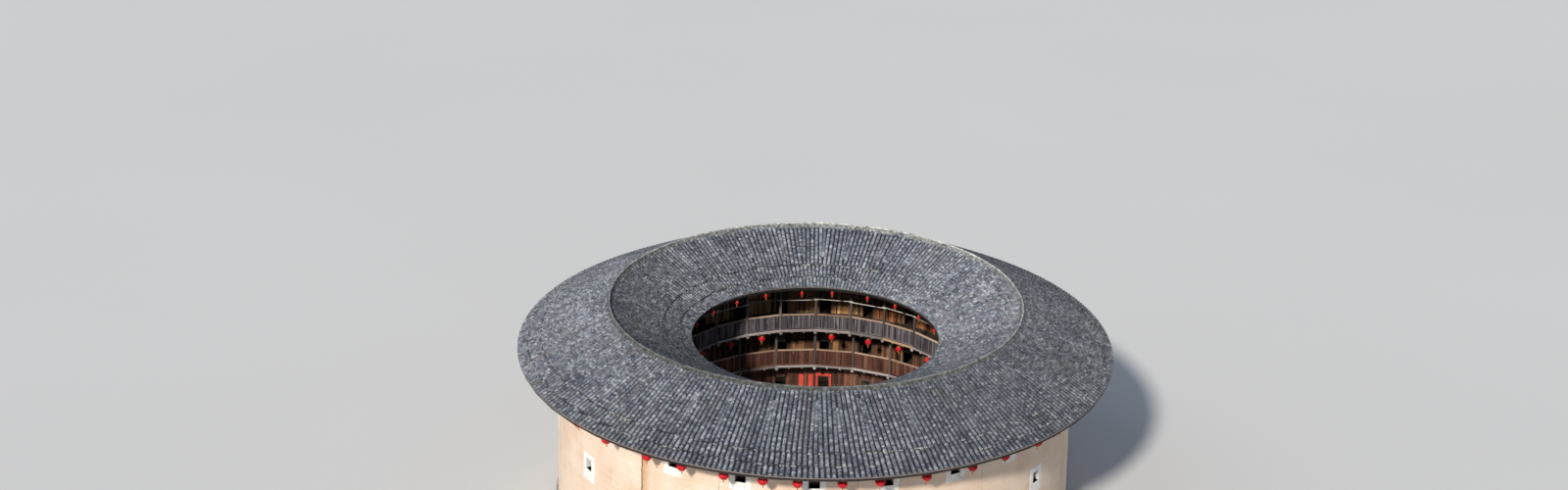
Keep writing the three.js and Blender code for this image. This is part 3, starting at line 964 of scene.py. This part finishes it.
def dress_eaves():
    """A pale lip under the tile ends, and the rafters behind the boards."""
    for name, near, far, level, foot, near_head, far_head, steps in (
            ("outer", EAVE_R - 0.075, EAVE_R - 0.008, OUTER_EAVE_Z, 0.145, 0.090, 0.098, 260),
            ("inner", INNER_EAVE_R + 0.008, INNER_EAVE_R + 0.075, INNER_EAVE_Z, 0.128, 0.098, 0.090,
             156)):
        lip = [(near, level - foot), (far, level - foot), (far, level - far_head),
               (near, level - near_head)]
        ring_piece(name + "_eave_lip", lip, steps, EDGE_TIMBER, "pale_pole")
    for slope, upper, lower, count in ((OUTER, 14.4, 17.08, 156), (INNER, 11.7, 7.50, 104)):
        rafter = Shape()
        ends = [at(r, 0, roof_height(slope, r) - BED_UNDER - 0.036) for r in (upper, lower)]
        rafter.bar(*ends, 0.075, 0.068)
        set_around(slope.name + "_rafters", every_bay(count), rafter, BEAM_TIMBER, "dark_timber", 3)


def build_roof():
    """Both slopes with their tiles, the ridge and the eaves."""
    dress_slope(OUTER, "outer_roof", TILE, 11)
    dress_slope(INNER, "inner_roof", COURT_TILE, 31)
    dress_joints(OUTER, 51)
    dress_joints(INNER, 52)
    dress_ridge()
    dress_eaves()


# Earth wall

Hole = namedtuple("Hole", "azimuth half_width low high")
HOLES = [Hole(a % tau, WINDOW_WIDTH / 2, sill, sill + WINDOW_HEIGHT)
         for azimuths, sill in ((THIRD_WINDOWS, THIRD_SILL), (SECOND_WINDOWS, SECOND_SILL))
         for a in azimuths]
HOLES.append(Hole(0.0, GATE_HALF, PLINTH_TOP, GATE_TOP))
COLUMN_STEP = deg(1.25)
HOLE_R = 15.03
WALL_HEAD = 10.86
ROW_STEP = 0.26


def filled(edges, step):
    """The edges with even divisions between them, none wider than step."""
    out = []
    for low, high in zip(edges, edges[1:]):
        parts = max(1, math.ceil((high - low) / step - 1e-6))
        out += [low + (high - low) * k / parts for k in range(parts)]
    return out + [edges[-1]]


def wall_columns():
    """Azimuths of the wall's upright lines, each with its twin on the inner face."""
    pairs = {}
    for hole in HOLES:
        for side in (-1, 1):
            outer = hole.azimuth + side * math.asin(hole.half_width / HOLE_R)
            inner = hole.azimuth + side * math.asin(hole.half_width / WALL_INNER_R)
            pairs[outer % tau] = inner % tau
    edges = sorted(pairs)
    edges.append(edges[0] + tau)
    columns = []
    for azimuth in filled(edges, COLUMN_STEP)[:-1]:
        columns.append((azimuth % tau, pairs.get(azimuth, azimuth % tau)))
    return columns


def wall_rows():
    levels = sorted({level for hole in HOLES for level in (hole.low, hole.high)})
    return filled(levels + [WALL_HEAD], ROW_STEP)


def angle_between(a, b):
    return abs((a - b + pi) % tau - pi)


def clear_of_holes(azimuth, height):
    """0 at a hole's edge, 1 from half a metre away."""
    nearest = 9.0
    for hole in HOLES:
        side = max(0.0, angle_between(azimuth, hole.azimuth) * 15 - hole.half_width - 0.22)
        rise = max(0.0, hole.low - 0.75 - height, height - hole.high - 0.35)
        nearest = min(nearest, math.hypot(side, rise))
    return min(1.0, nearest / 0.5)


def earth_relief(azimuth, height):
    """How far the face stands proud or worn back, in metres."""
    spot = Vector(at(WALL_FOOT_R, azimuth, height))
    swell = 0.020 * noise.noise(spot * 0.55)
    ragged = 0.010 * noise.noise(Vector((spot.x * 1.6, spot.y * 1.6, spot.z * 4.0)))
    return (swell + ragged) * clear_of_holes(azimuth, height)


def build_wall():
    """The ring wall with every window and the gateway cut through it."""
    columns, rows = wall_columns(), wall_rows()
    across, up = len(columns), len(rows)
    inner_top = APEX_Z - OUTER_FALL * (WALL_INNER_R - RIDGE_R) - ROOF_DEPTH - 0.02
    points = [at(wall_radius(height) + earth_relief(outer, height), outer, height)
              for outer, _ in columns for height in rows]
    points += [at(WALL_INNER_R, inner, height) for _, inner in columns
               for height in rows[:-1] + [inner_top]]
    base = across * up

    def solid(i, j):
        outer = columns[i][0]
        following = columns[(i + 1) % across][0]
        middle = outer + ((following - outer) % tau) / 2
        level = (rows[j] + rows[j + 1]) / 2
        return not any(angle_between(middle, h.azimuth) < h.half_width / HOLE_R
                       and h.low < level < h.high for h in HOLES)

    faces = []
    for i in range(across):
        n = (i + 1) % across
        for j in range(up - 1):
            a, b, c, d = i * up + j, n * up + j, n * up + j + 1, i * up + j + 1
            if not solid(i, j):
                continue
            faces.append((a, b, c, d))
            faces.append((base + d, base + c, base + b, base + a))
            if j == 0 or not solid(i, j - 1):
                faces.append((base + a, base + b, b, a))
            if j == up - 2 or not solid(i, j + 1):
                faces.append((d, c, base + c, base + d))
            if not solid(n, j):
                faces.append((b, base + b, base + c, c))
            if not solid((i - 1) % across, j):
                faces.append((a, d, base + d, base + a))
    nodes = [f"earth_wall_{k:02d}" for k in range(1, 13)] + ["wall_over_gate"]
    mesh = new_mesh("earth_wall", points, faces)
    fit(new_piece("earth_wall", mesh, EARTH), "rammed_earth", *nodes)


def window_border(sill, below, above, side, seed):
    """A hand-spread plaster border round a window, made in place at azimuth 0."""
    rng = random.Random(seed)
    half = WINDOW_WIDTH / 2
    across, up = 6, 8
    inner, outer = [], []
    walk = [(k / across, 0) for k in range(across)] + [(1, k / up) for k in range(up)]
    walk += [(1 - k / across, 1) for k in range(across)] + [(0, 1 - k / up) for k in range(up)]
    for u, v in walk:
        inner.append((-half + u * WINDOW_WIDTH, sill + v * WINDOW_HEIGHT))
        jag = [rng.uniform(-0.022, 0.022) for _ in range(2)]
        outer.append((-half - side + u * (WINDOW_WIDTH + 2 * side) + jag[0],
                      sill - below + v * (WINDOW_HEIGHT + below + above) + jag[1]))
    shape = Shape()

    def ring(loop, proud):
        start = len(shape.points)
        for x, z in loop:
            radius = wall_radius(z) + proud
            shape.points.append((x, -math.sqrt(radius * radius - x * x), z))
        return start

    n = len(walk)
    loops = [ring(inner, -0.37), ring(inner, 0.004), ring(inner, 0.016), ring(outer, 0.012),
             ring(outer, -0.03)]
    for a, b in zip(loops, loops[1:]):
        shape.faces += loop_faces(a, b, n)
    return shape


def window_bars(sill):
    """A timber frame with upright bars, set back in the hole."""
    shape = Shape()
    depth = -14.62
    half, low, high = WINDOW_WIDTH / 2 - 0.03, sill + 0.03, sill + WINDOW_HEIGHT - 0.03
    for x in (-half, half):
        shape.bar((x, depth, low - 0.03), (x, depth, high + 0.03), 0.06, 0.07, up=(0, 1, 0))
    for z in (low, high):
        shape.bar((-half, depth, z), (half, depth, z), 0.07, 0.055)
    for k in range(1, 5):
        x = -half + 2 * half * k / 5
        shape.bar((x, depth, low), (x, depth, high), 0.028, 0.028, up=(0, 1, 0))
    return shape


def build_windows():
    """Plaster borders and barred frames, one row a storey."""
    rows = (("third", THIRD_WINDOWS, THIRD_SILL, 0.47, 0.20, 0.29),
            ("second", SECOND_WINDOWS, SECOND_SILL, 0.64, 0.30, 0.31))
    for name, azimuths, sill, below, above, side in rows:
        spots = [Spot(a) for a in azimuths]
        plastered = [spot for spot in spots if abs(spot.azimuth % tau - BARE_WINDOW) > 0.01]
        set_around(name + "_window_borders", plastered, window_border(sill, below, above, side, 7),
                   PLASTER, "white_plaster")
        set_around(name + "_window_bars", spots, window_bars(sill), DARK_TIMBER, "dark_timber", 5)


# Plinth and gateway


# Without a seed, noise_vector follows the clock.
STONE_SEED = 5


def rough_stone():
    """A rounded, uneven block one metre each way, of three by three by three points."""
    noise.seed_set(STONE_SEED)
    shape = Shape()
    for spot in product(range(3), repeat=3):
        p = Vector(spot) / 2 - Vector((0.5, 0.5, 0.5))
        p *= (1.0, 1.0, 0.965, 0.90)[sum(abs(c) == 0.5 for c in p)]
        p += 0.035 * Vector(noise.noise_vector(p * 3.3 + Vector(spot)))
        shape.points.append(tuple(p))
    for axis, side, a, b in product(range(3), (0, 2), range(2), range(2)):
        u, v = [k for k in range(3) if k != axis]
        loop = []
        for da, db in ((0, 0), (1, 0), (1, 1), (0, 1)):
            spot = [0, 0, 0]
            spot[axis], spot[u], spot[v] = side, a + da, b + db
            loop.append(spot[0] * 9 + spot[1] * 3 + spot[2])
        flip = (side == 0) != (axis == 1)
        shape.faces.append(tuple(reversed(loop)) if flip else tuple(loop))
    return shape


def build_plinth():
    """Two courses of rubble stones on a mortar core, open at the gateway."""
    rng = random.Random(5)
    gap = math.asin(GATE_HALF / PLINTH_R) + 0.002
    inside, outside, top = 13.9, PLINTH_R - 0.05, PLINTH_TOP - 0.02
    core = [(inside, 0.0), (outside, 0.0), (outside, top), (inside, top)]
    ring_piece("plinth_core", core, 180, MORTAR, "stone", "plinth", gap=gap)
    spots = []
    depth = 0.30
    for low, high in ((0.014, 0.222), (0.230, PLINTH_TOP - 0.003)):
        azimuth = gap
        while azimuth < tau - gap - 0.01:
            width = min(rng.uniform(0.26, 0.58), (tau - gap - azimuth) * PLINTH_R)
            middle = azimuth + width / 2 / PLINTH_R
            place = at(PLINTH_R - depth / 2 - 0.012, middle, (low + high) / 2)
            spots.append(Spot(middle, place, (width * 0.97, depth, (high - low) * 0.98)))
            azimuth += width / PLINTH_R
    set_around("plinth_stones", spots, rough_stone(), STONE, "stone", 9, deg(0.6))


def repaint(mesh, finish):
    mesh.materials.clear()
    mesh.materials.append(finish)


def build_gateway():
    """The dressed stone frame, its edges worn round."""
    for node in ("gate_jamb_left", "gate_jamb_right", "gate_lintel", "gate_threshold"):
        piece = new_piece(node + "_stone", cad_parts[node].data.copy())
        repaint(piece.data, STONE)
        weld = piece.modifiers.new("weld", "WELD")
        weld.merge_threshold = 0.0005
        bevel = piece.modifiers.new("worn_edges", "BEVEL")
        bevel.width = 0.018
        bevel.segments = 3
        worn = settled(piece)
        piece.modifiers.clear()
        piece.data = worn
        fit(piece, "stone", node)


# Timber


def bay_point(radius, share, height, bay=0):
    """A point on a bay's straight side, share 0 at its first post line and 1 at its last."""
    first, last = (Vector(at(radius, (bay + side) * BAY, height)) for side in (-0.5, 0.5))
    return tuple(first.lerp(last, share))


def bay_bar(shape, radius, shares, height, width, size, bay=0):
    """A level bar between two shares of a bay's straight side."""
    shape.bar(*(bay_point(radius, share, height, bay) for share in shares), width, size)


def bay_upright(shape, radius, share, ends, width, size, bay=0, up=(1, 0, 0)):
    """An upright bar on a bay's straight side, between two heights."""
    shape.bar(*(bay_point(radius, share, height, bay) for height in ends), width, size, up=up)


def bay_length(radius):
    return 2 * radius * sin(BAY / 2)


def post_shape(radius, low, high, width, depth):
    """A post on the line between two bays, square to the axis."""
    shape = Shape()
    shape.bar(at(radius, BAY / 2, low), at(radius, BAY / 2, high), width, depth, 0.14,
              up=at(1, BAY / 2, 0))
    return shape


def plank(width, height, thick, middle):
    """An upright board, its width along Y, its middle at the given height."""
    shape = Shape()
    shape.bar((0, 0, middle - height / 2), (0, 0, middle + height / 2), width, thick, 0.15,
              up=(1, 0, 0))
    return shape


def panel_lines(radius, post, bays=range(BAYS), start=0.0, end=1.0):
    """The level lines that boards stand along, one a bay, short of the posts."""
    trim = post / 2 / bay_length(radius)
    shares = max(start, trim), min(end, 1 - trim)
    return [tuple(bay_point(radius, share, 0, bay) for share in shares) for bay in bays]


def inset_lines(lines, inset):
    """Lines shortened at both ends, so that the outermost board stays inside."""
    out = []
    for first, last in lines:
        a, b = Vector(first), Vector(last)
        step = (b - a).normalized() * inset
        out.append((tuple(a + step), tuple(b - step)))
    return out


def stand_boards(name, lines, low, high, width, thick, finish, slot, seed, nodes=()):
    """A row of upright boards along each line."""
    board = plank(width * 0.965, high - low, thick, (low + high) / 2)
    lay_along(name, inset_lines(lines, width / 2), board, width, finish, slot, seed, deg(0.25), 0.004,
              nodes=nodes)


def build_gallery(name, radius, deck, rail, head, finish, slot, seed):
    """Posts, boarded balustrade, rail and battens of one gallery."""
    stand_boards(name + "_gallery_boards", panel_lines(radius, 0.16), deck - 0.03, rail - 0.08,
                 0.128, 0.024, finish, slot, seed, (name + "_gallery",))
    batten = plank(0.036, rail - deck - 0.10, 0.014, (rail + deck) / 2 - 0.02)
    lay_along(name + "_gallery_battens", panel_lines(radius - 0.020, 0.30), batten, 0.256, finish,
              slot, seed + 1, deg(0.4), 0.01, 0.1)
    rails, foot = Shape(), Shape()
    bay_bar(rails, radius, (0.0, 1.0), rail - 0.045, 0.11, 0.085)
    set_around(name + "_rails", every_bay(), rails, RAIL_TIMBER, slot, seed + 2)
    bay_bar(foot, radius - 0.026, (0.03, 0.97), deck + 0.045, 0.03, 0.07)
    set_around(name + "_gallery_foot", every_bay(), foot, finish, slot, seed + 3)
    post = post_shape(radius - 0.02, deck, head, 0.150, 0.165)
    set_around(name + "_posts", every_bay(), post, POST_TIMBER, "dark_timber", seed + 4)


def build_floor(name, radius, deck, seed):
    """Deck, log beams with cut ends, small joists and the pale edge boards."""
    inner, outer, under = radius - 0.10, 13.98, deck - DECK_THICK
    section = [(inner, under), (outer, under), (outer, deck), (inner, deck)]
    ring_piece(name + "_deck", section, BAYS, BEAM_TIMBER, "dark_timber", name + "_floor",
               start=BAY / 2)
    middle = under - 0.115
    beam, cut, joist, edge = (Shape() for _ in range(4))
    beam.log(at(radius - 0.20, BAY / 2, middle), at(13.95, BAY / 2, middle), 0.095, 12)
    cut.log(at(radius - 0.235, BAY / 2, middle), at(radius - 0.12, BAY / 2, middle), 0.100, 12)
    for share in (-0.17, 0.17):
        way = Vector(at(1, share * BAY, 0))
        for shape, back, reach, thick, sides in ((cut, 0.06, 0.16, 0.062, 10),
                                                 (joist, 0.02, 1.3, 0.060, 8)):
            start = Vector(bay_point(inner - back, 0.5 + share, middle + 0.035))
            shape.log(start, start + way * reach, thick, sides)
    bay_bar(edge, inner - 0.022, (0, 1), deck - 0.03, 0.04, 0.075)
    bay_bar(edge, inner - 0.022 + 0.03, (0, 1), deck - 0.125, 0.04, 0.045)
    for order, (part, shape, finish, slot) in enumerate((
            ("_beams", beam, BEAM_TIMBER, "dark_timber"), ("_log_ends", cut, LOG_END, "pale_pole"),
            ("_joists", joist, BEAM_TIMBER, "dark_timber"),
            ("_deck_edge", edge, EDGE_TIMBER, "pale_pole"))):
        set_around(name + part, every_bay(), shape, finish, slot, seed + order)


def door_shares():
    """Where the door's two sides stand on a bay's straight side."""
    length = bay_length(PARTITION_R)
    middle = 1 - DOOR_FROM_POST / length
    half = DOOR_WIDTH / 2 / length
    return middle - half, middle + half


def build_partition(name, low, high, bays, finish, seed):
    """The boarded front of one storey's rooms, with a doorway in each bay."""
    start, end = door_shares()
    node = name + "_partition"
    head = low + DOOR_HEIGHT
    for order, (part, first, last, foot, width, nodes) in enumerate((
            ("_boards", 0.0, start, low, 0.185, (node,)), ("_side_boards", end, 1.0, low, 0.125, ()),
            ("_over_doors", start, end, head, 0.175, ()))):
        lines = panel_lines(PARTITION_R, 0.18, bays, first, last)
        stand_boards(node + part, lines, foot, high, width, 0.03, finish, "red_brown_board",
                     seed + order, nodes)
    members = Shape()
    for shares, height, width, size in (
            ((0, start), low + 0.05, 0.08, 0.10), ((end, 1), low + 0.05, 0.08, 0.10),
            ((0, start), high - 0.06, 0.08, 0.12), ((end, 1), high - 0.06, 0.08, 0.12),
            ((start, end), high - 0.06, 0.08, 0.12), ((start, end), head + 0.04, 0.10, 0.09),
            ((0.02, start), low + 1.15, 0.055, 0.07)):
        bay_bar(members, PARTITION_R, shares, height, width, size)
    for share in (start, end):
        bay_upright(members, PARTITION_R, share, (low, head + 0.08), 0.09, 0.07)
    set_around(node + "_frames", [Spot(bay * BAY) for bay in bays], members, DARK_TIMBER,
               "dark_timber", seed + 3)
    top = high if name != "third" else APEX_Z - INNER_FALL * (RIDGE_R - PARTITION_R) - 0.24
    post = post_shape(PARTITION_R, low, top, 0.17, 0.17)
    set_around(node + "_posts", every_bay(), post, DARK_TIMBER, "dark_timber", seed + 4)


def build_poles():
    """The ring of drying poles, tied where they cross at the posts."""
    rng = random.Random(3)
    pole = Shape()
    pole.log(bay_point(POLE_R, -0.06, POLE_Z), bay_point(POLE_R, 1.06, POLE_Z), 0.026, 8)
    spots = [Spot(bay * BAY, (0, 0, (0.028 if bay % 2 else -0.028) + rng.uniform(-0.008, 0.008)))
             for bay in range(BAYS)]
    set_around("drying_poles", spots, pole, PALE_POLE, "pale_pole", 4, nodes=("drying_pole_ring",))


def build_hall_front():
    """The framed doorway across the court, with bare red panels beside it."""
    start, end = door_shares()
    radius, head = PARTITION_R - 0.07, DOOR_HEIGHT + 0.10
    front = Shape()
    for share in (start - 0.035, end + 0.035):
        bay_upright(front, radius, share, (0.0, head), 0.10, 0.12, HALL_BAY)
    bay_bar(front, radius, (start - 0.06, end + 0.06), head + 0.05, 0.11, 0.14, HALL_BAY)
    for share in (0.08, 0.30):
        bay_upright(front, radius + 0.01, share, (0.35, 2.1), 0.30, 0.02, HALL_BAY + 1, (0, 1, 0))
    fit(new_piece("hall_door_frame", front.mesh("hall_door_frame"), RED_PAINT), "red_paint")


def build_edge_board():
    """The one newer board on the third deck's edge."""
    board = Shape()
    bay_bar(board, THIRD_R - 0.155, (0.01, 0.99), THIRD_DECK - 0.045, 0.03, 0.15, NEWER_BOARD_BAY)
    fit(new_piece("newer_edge_board", board.mesh("newer_edge_board"), FRESH_BOARD), "pale_pole")


def build_timber():
    """Floors, room fronts and galleries, storey by storey."""
    build_floor("second", SECOND_R, SECOND_DECK, 60)
    build_floor("third", THIRD_R, THIRD_DECK, 65)
    build_partition("ground", 0.002, 3.14, range(1, BAYS), RED_BOARD, 70)
    build_partition("second", SECOND_DECK, 6.12, range(BAYS), TAN_BOARD, 76)
    build_partition("third", THIRD_DECK, 9.0, range(BAYS), LIT_TAN_BOARD, 82)
    build_gallery("second", SECOND_R, SECOND_DECK, SECOND_RAIL, 6.13, RED_BOARD, "red_brown_board", 90)
    roof_under = APEX_Z - INNER_FALL * (RIDGE_R - THIRD_R) - 0.235
    build_gallery("third", THIRD_R, THIRD_DECK, THIRD_RAIL, roof_under, GREY_BOARD, "grey_board", 96)
    build_edge_board()
    build_poles()
    build_hall_front()


# Lanterns


def lantern_globe(width, height):
    """A ribbed cloth globe, open at neither end."""
    shape = Shape()
    steps = 8
    turns = [pi * (0.10 + 0.80 * k / steps) for k in range(steps + 1)]
    profile = [(width / 2 * sin(t) ** 0.75, -height / 2 * cos(t)) for t in turns]
    shape.turned(profile, 24, ribs=12, rib=0.06)
    return shape


def lantern_trim(width, height, drop):
    """Rim rings, tassel and hanging cord."""
    shape = Shape()
    rim = width * 0.27
    foot = -height / 2 * cos(pi * 0.10)
    for level in (foot - 0.035, -foot - 0.005):
        shape.turned([(rim, level), (rim * 1.06, level + 0.012), (rim * 1.06, level + 0.030),
                      (rim, level + 0.042)], 14)
    shape.turned([(0.012, foot - 0.10), (0.030, foot - 0.09), (0.018, foot - 0.05),
                  (0.006, foot - 0.03)], 7)
    shape.turned([(0.034, foot - 0.10 - drop), (0.024, foot - 0.10)], 7)
    shape.turned([(0.006, -foot + 0.02), (0.006, -foot + 0.16)], 5)
    return shape


def hang_lanterns(name, spots, width, height, drop, seed):
    """Lanterns of one size: the cloth globes and their gilt trim."""
    for part, shape, finish in (("_lanterns", lantern_globe(width, height), LANTERN_RED),
                                ("_lantern_trim", lantern_trim(width, height, drop), LANTERN_GILT)):
        set_around(name + part, spots, shape, finish, "red_lantern", seed, deg(3), 0.03)


def ring_spots(count, start, radius, height, jitter, seed, sweep=tau):
    """Spots round part of a circle, a little uneven."""
    rng = random.Random(seed)
    spots = []
    for k in range(count):
        azimuth = start + sweep * k / count + rng.uniform(-1, 1) * jitter
        spots.append(Spot(azimuth, at(radius, azimuth, height + rng.uniform(-0.03, 0.03))))
    return spots


def build_lanterns():
    """Red lanterns under both eaves and under the third-floor deck."""
    near = [Spot(deg(a), at(LANTERN_R, deg(a), LANTERN_Z)) for a in NEAR_LANTERNS]
    rest = ring_spots(33, deg(46.6), LANTERN_R, LANTERN_Z, deg(0.7), 1, deg(277))
    hang_lanterns("outer", near + rest, 0.56, 0.38, 0.14, 101)
    court = ring_spots(22, deg(178.3), INNER_EAVE_R + 0.14, 9.66, deg(1.0), 2)
    hang_lanterns("inner", court, 0.22, 0.20, 0.07, 103)
    bays = ring_spots(BAYS, 0.0, THIRD_R + 0.05, 5.84, deg(0.8), 3)
    del bays[HALL_BAY + 1]
    hang_lanterns("second", bays, 0.42, 0.30, 0.14, 105)


# Camera, light and floor

CAMERA_AZIMUTH = BAY / 2
CAMERA_DISTANCE = 110.2256
CAMERA_HEIGHT = 59.7802
CAMERA_PITCH = 0.37981
CAMERA_YAW = -0.01749
CAMERA_ROLL = -0.01907
CAMERA_LENS = 47.3057


def place_camera():
    """Stands where the photograph was taken from, level lines and all."""
    pitch, yaw, roll = CAMERA_PITCH, CAMERA_YAW, CAMERA_ROLL
    ahead = Vector((sin(yaw) * cos(pitch), cos(yaw) * cos(pitch),
                    -sin(pitch)))
    level = Vector((cos(yaw), -sin(yaw), 0))
    down = ahead.cross(level)
    right = cos(roll) * level + sin(roll) * down
    below = -sin(roll) * level + cos(roll) * down
    axes = Matrix((right, -below, -ahead)).transposed().to_4x4()
    axes.translation = (0, -CAMERA_DISTANCE, CAMERA_HEIGHT)
    data = bpy.data.cameras.new("camera")
    data.lens = CAMERA_LENS
    data.sensor_width = 36
    data.clip_end = 2000
    camera = bpy.data.objects.new("camera", data)
    bpy.context.scene.collection.objects.link(camera)
    camera.matrix_world = Matrix.Rotation(CAMERA_AZIMUTH, 4, "Z") @ axes
    bpy.context.scene.camera = camera


def sun_lamp(name, azimuth, elevation, strength, spread, colour):
    """A far lamp. Azimuth is measured from the camera's side of the house, to the right."""
    data = bpy.data.lights.new(name, "SUN")
    data.energy = strength
    data.angle = spread
    data.color = colour
    lamp = bpy.data.objects.new(name, data)
    bpy.context.scene.collection.objects.link(lamp)
    towards = Vector(at(cos(elevation), CAMERA_AZIMUTH + azimuth, sin(elevation)))
    lamp.rotation_euler = towards.to_track_quat("Z", "Y").to_euler()


def light_scene():
    """Soft studio light: one key lamp, one fill lamp and a pale blue backdrop."""
    sun_lamp("key_lamp", deg(-21), deg(34), 3.95, deg(5.0), (1.0, 0.95, 0.88))
    sun_lamp("fill_lamp", deg(-85), deg(38), 0.35, deg(60), (0.84, 0.91, 1.0))
    world = bpy.data.worlds.new("studio")
    world.use_nodes = True
    backdrop = world.node_tree.nodes["Background"]
    backdrop.inputs["Color"].default_value = (0.64, 0.77, 1.0, 1)
    backdrop.inputs["Strength"].default_value = 0.34
    bpy.context.scene.world = world
    bpy.context.scene.view_settings.view_transform = "Standard"


def lay_floor():
    """The plain pale studio floor."""
    reach = 900
    corners = [(-reach, -reach, -0.002), (reach, -reach, -0.002), (reach, reach, -0.002),
               (-reach, reach, -0.002)]
    finish = Finish("studio_floor", 0.95)
    shade = finish.mix(finish.grain(0.02, 2.0), (0.60, 0.595, 0.58), (0.64, 0.635, 0.62))
    finish.tree.links.new(shade, finish.shader.inputs["Base Color"])
    new_piece("studio_floor", new_mesh("studio_floor", corners, [(0, 1, 2, 3)]),
                       finish.material)


def keep_eave_boards():
    """The two eave boards keep their solids and get timber finishes painted near black: painted shade
    under the eaves.
    """
    for node, finish in (("outer_eave_board", SHADED_FASCIA), ("inner_eave_board", SHADED_COURT_FASCIA)):
        repaint(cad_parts[node].data, finish)


place_camera()
build_roof()
build_wall()
build_windows()
build_plinth()
build_gateway()
build_timber()
build_lanterns()
keep_eave_boards()
light_scene()
lay_floor()
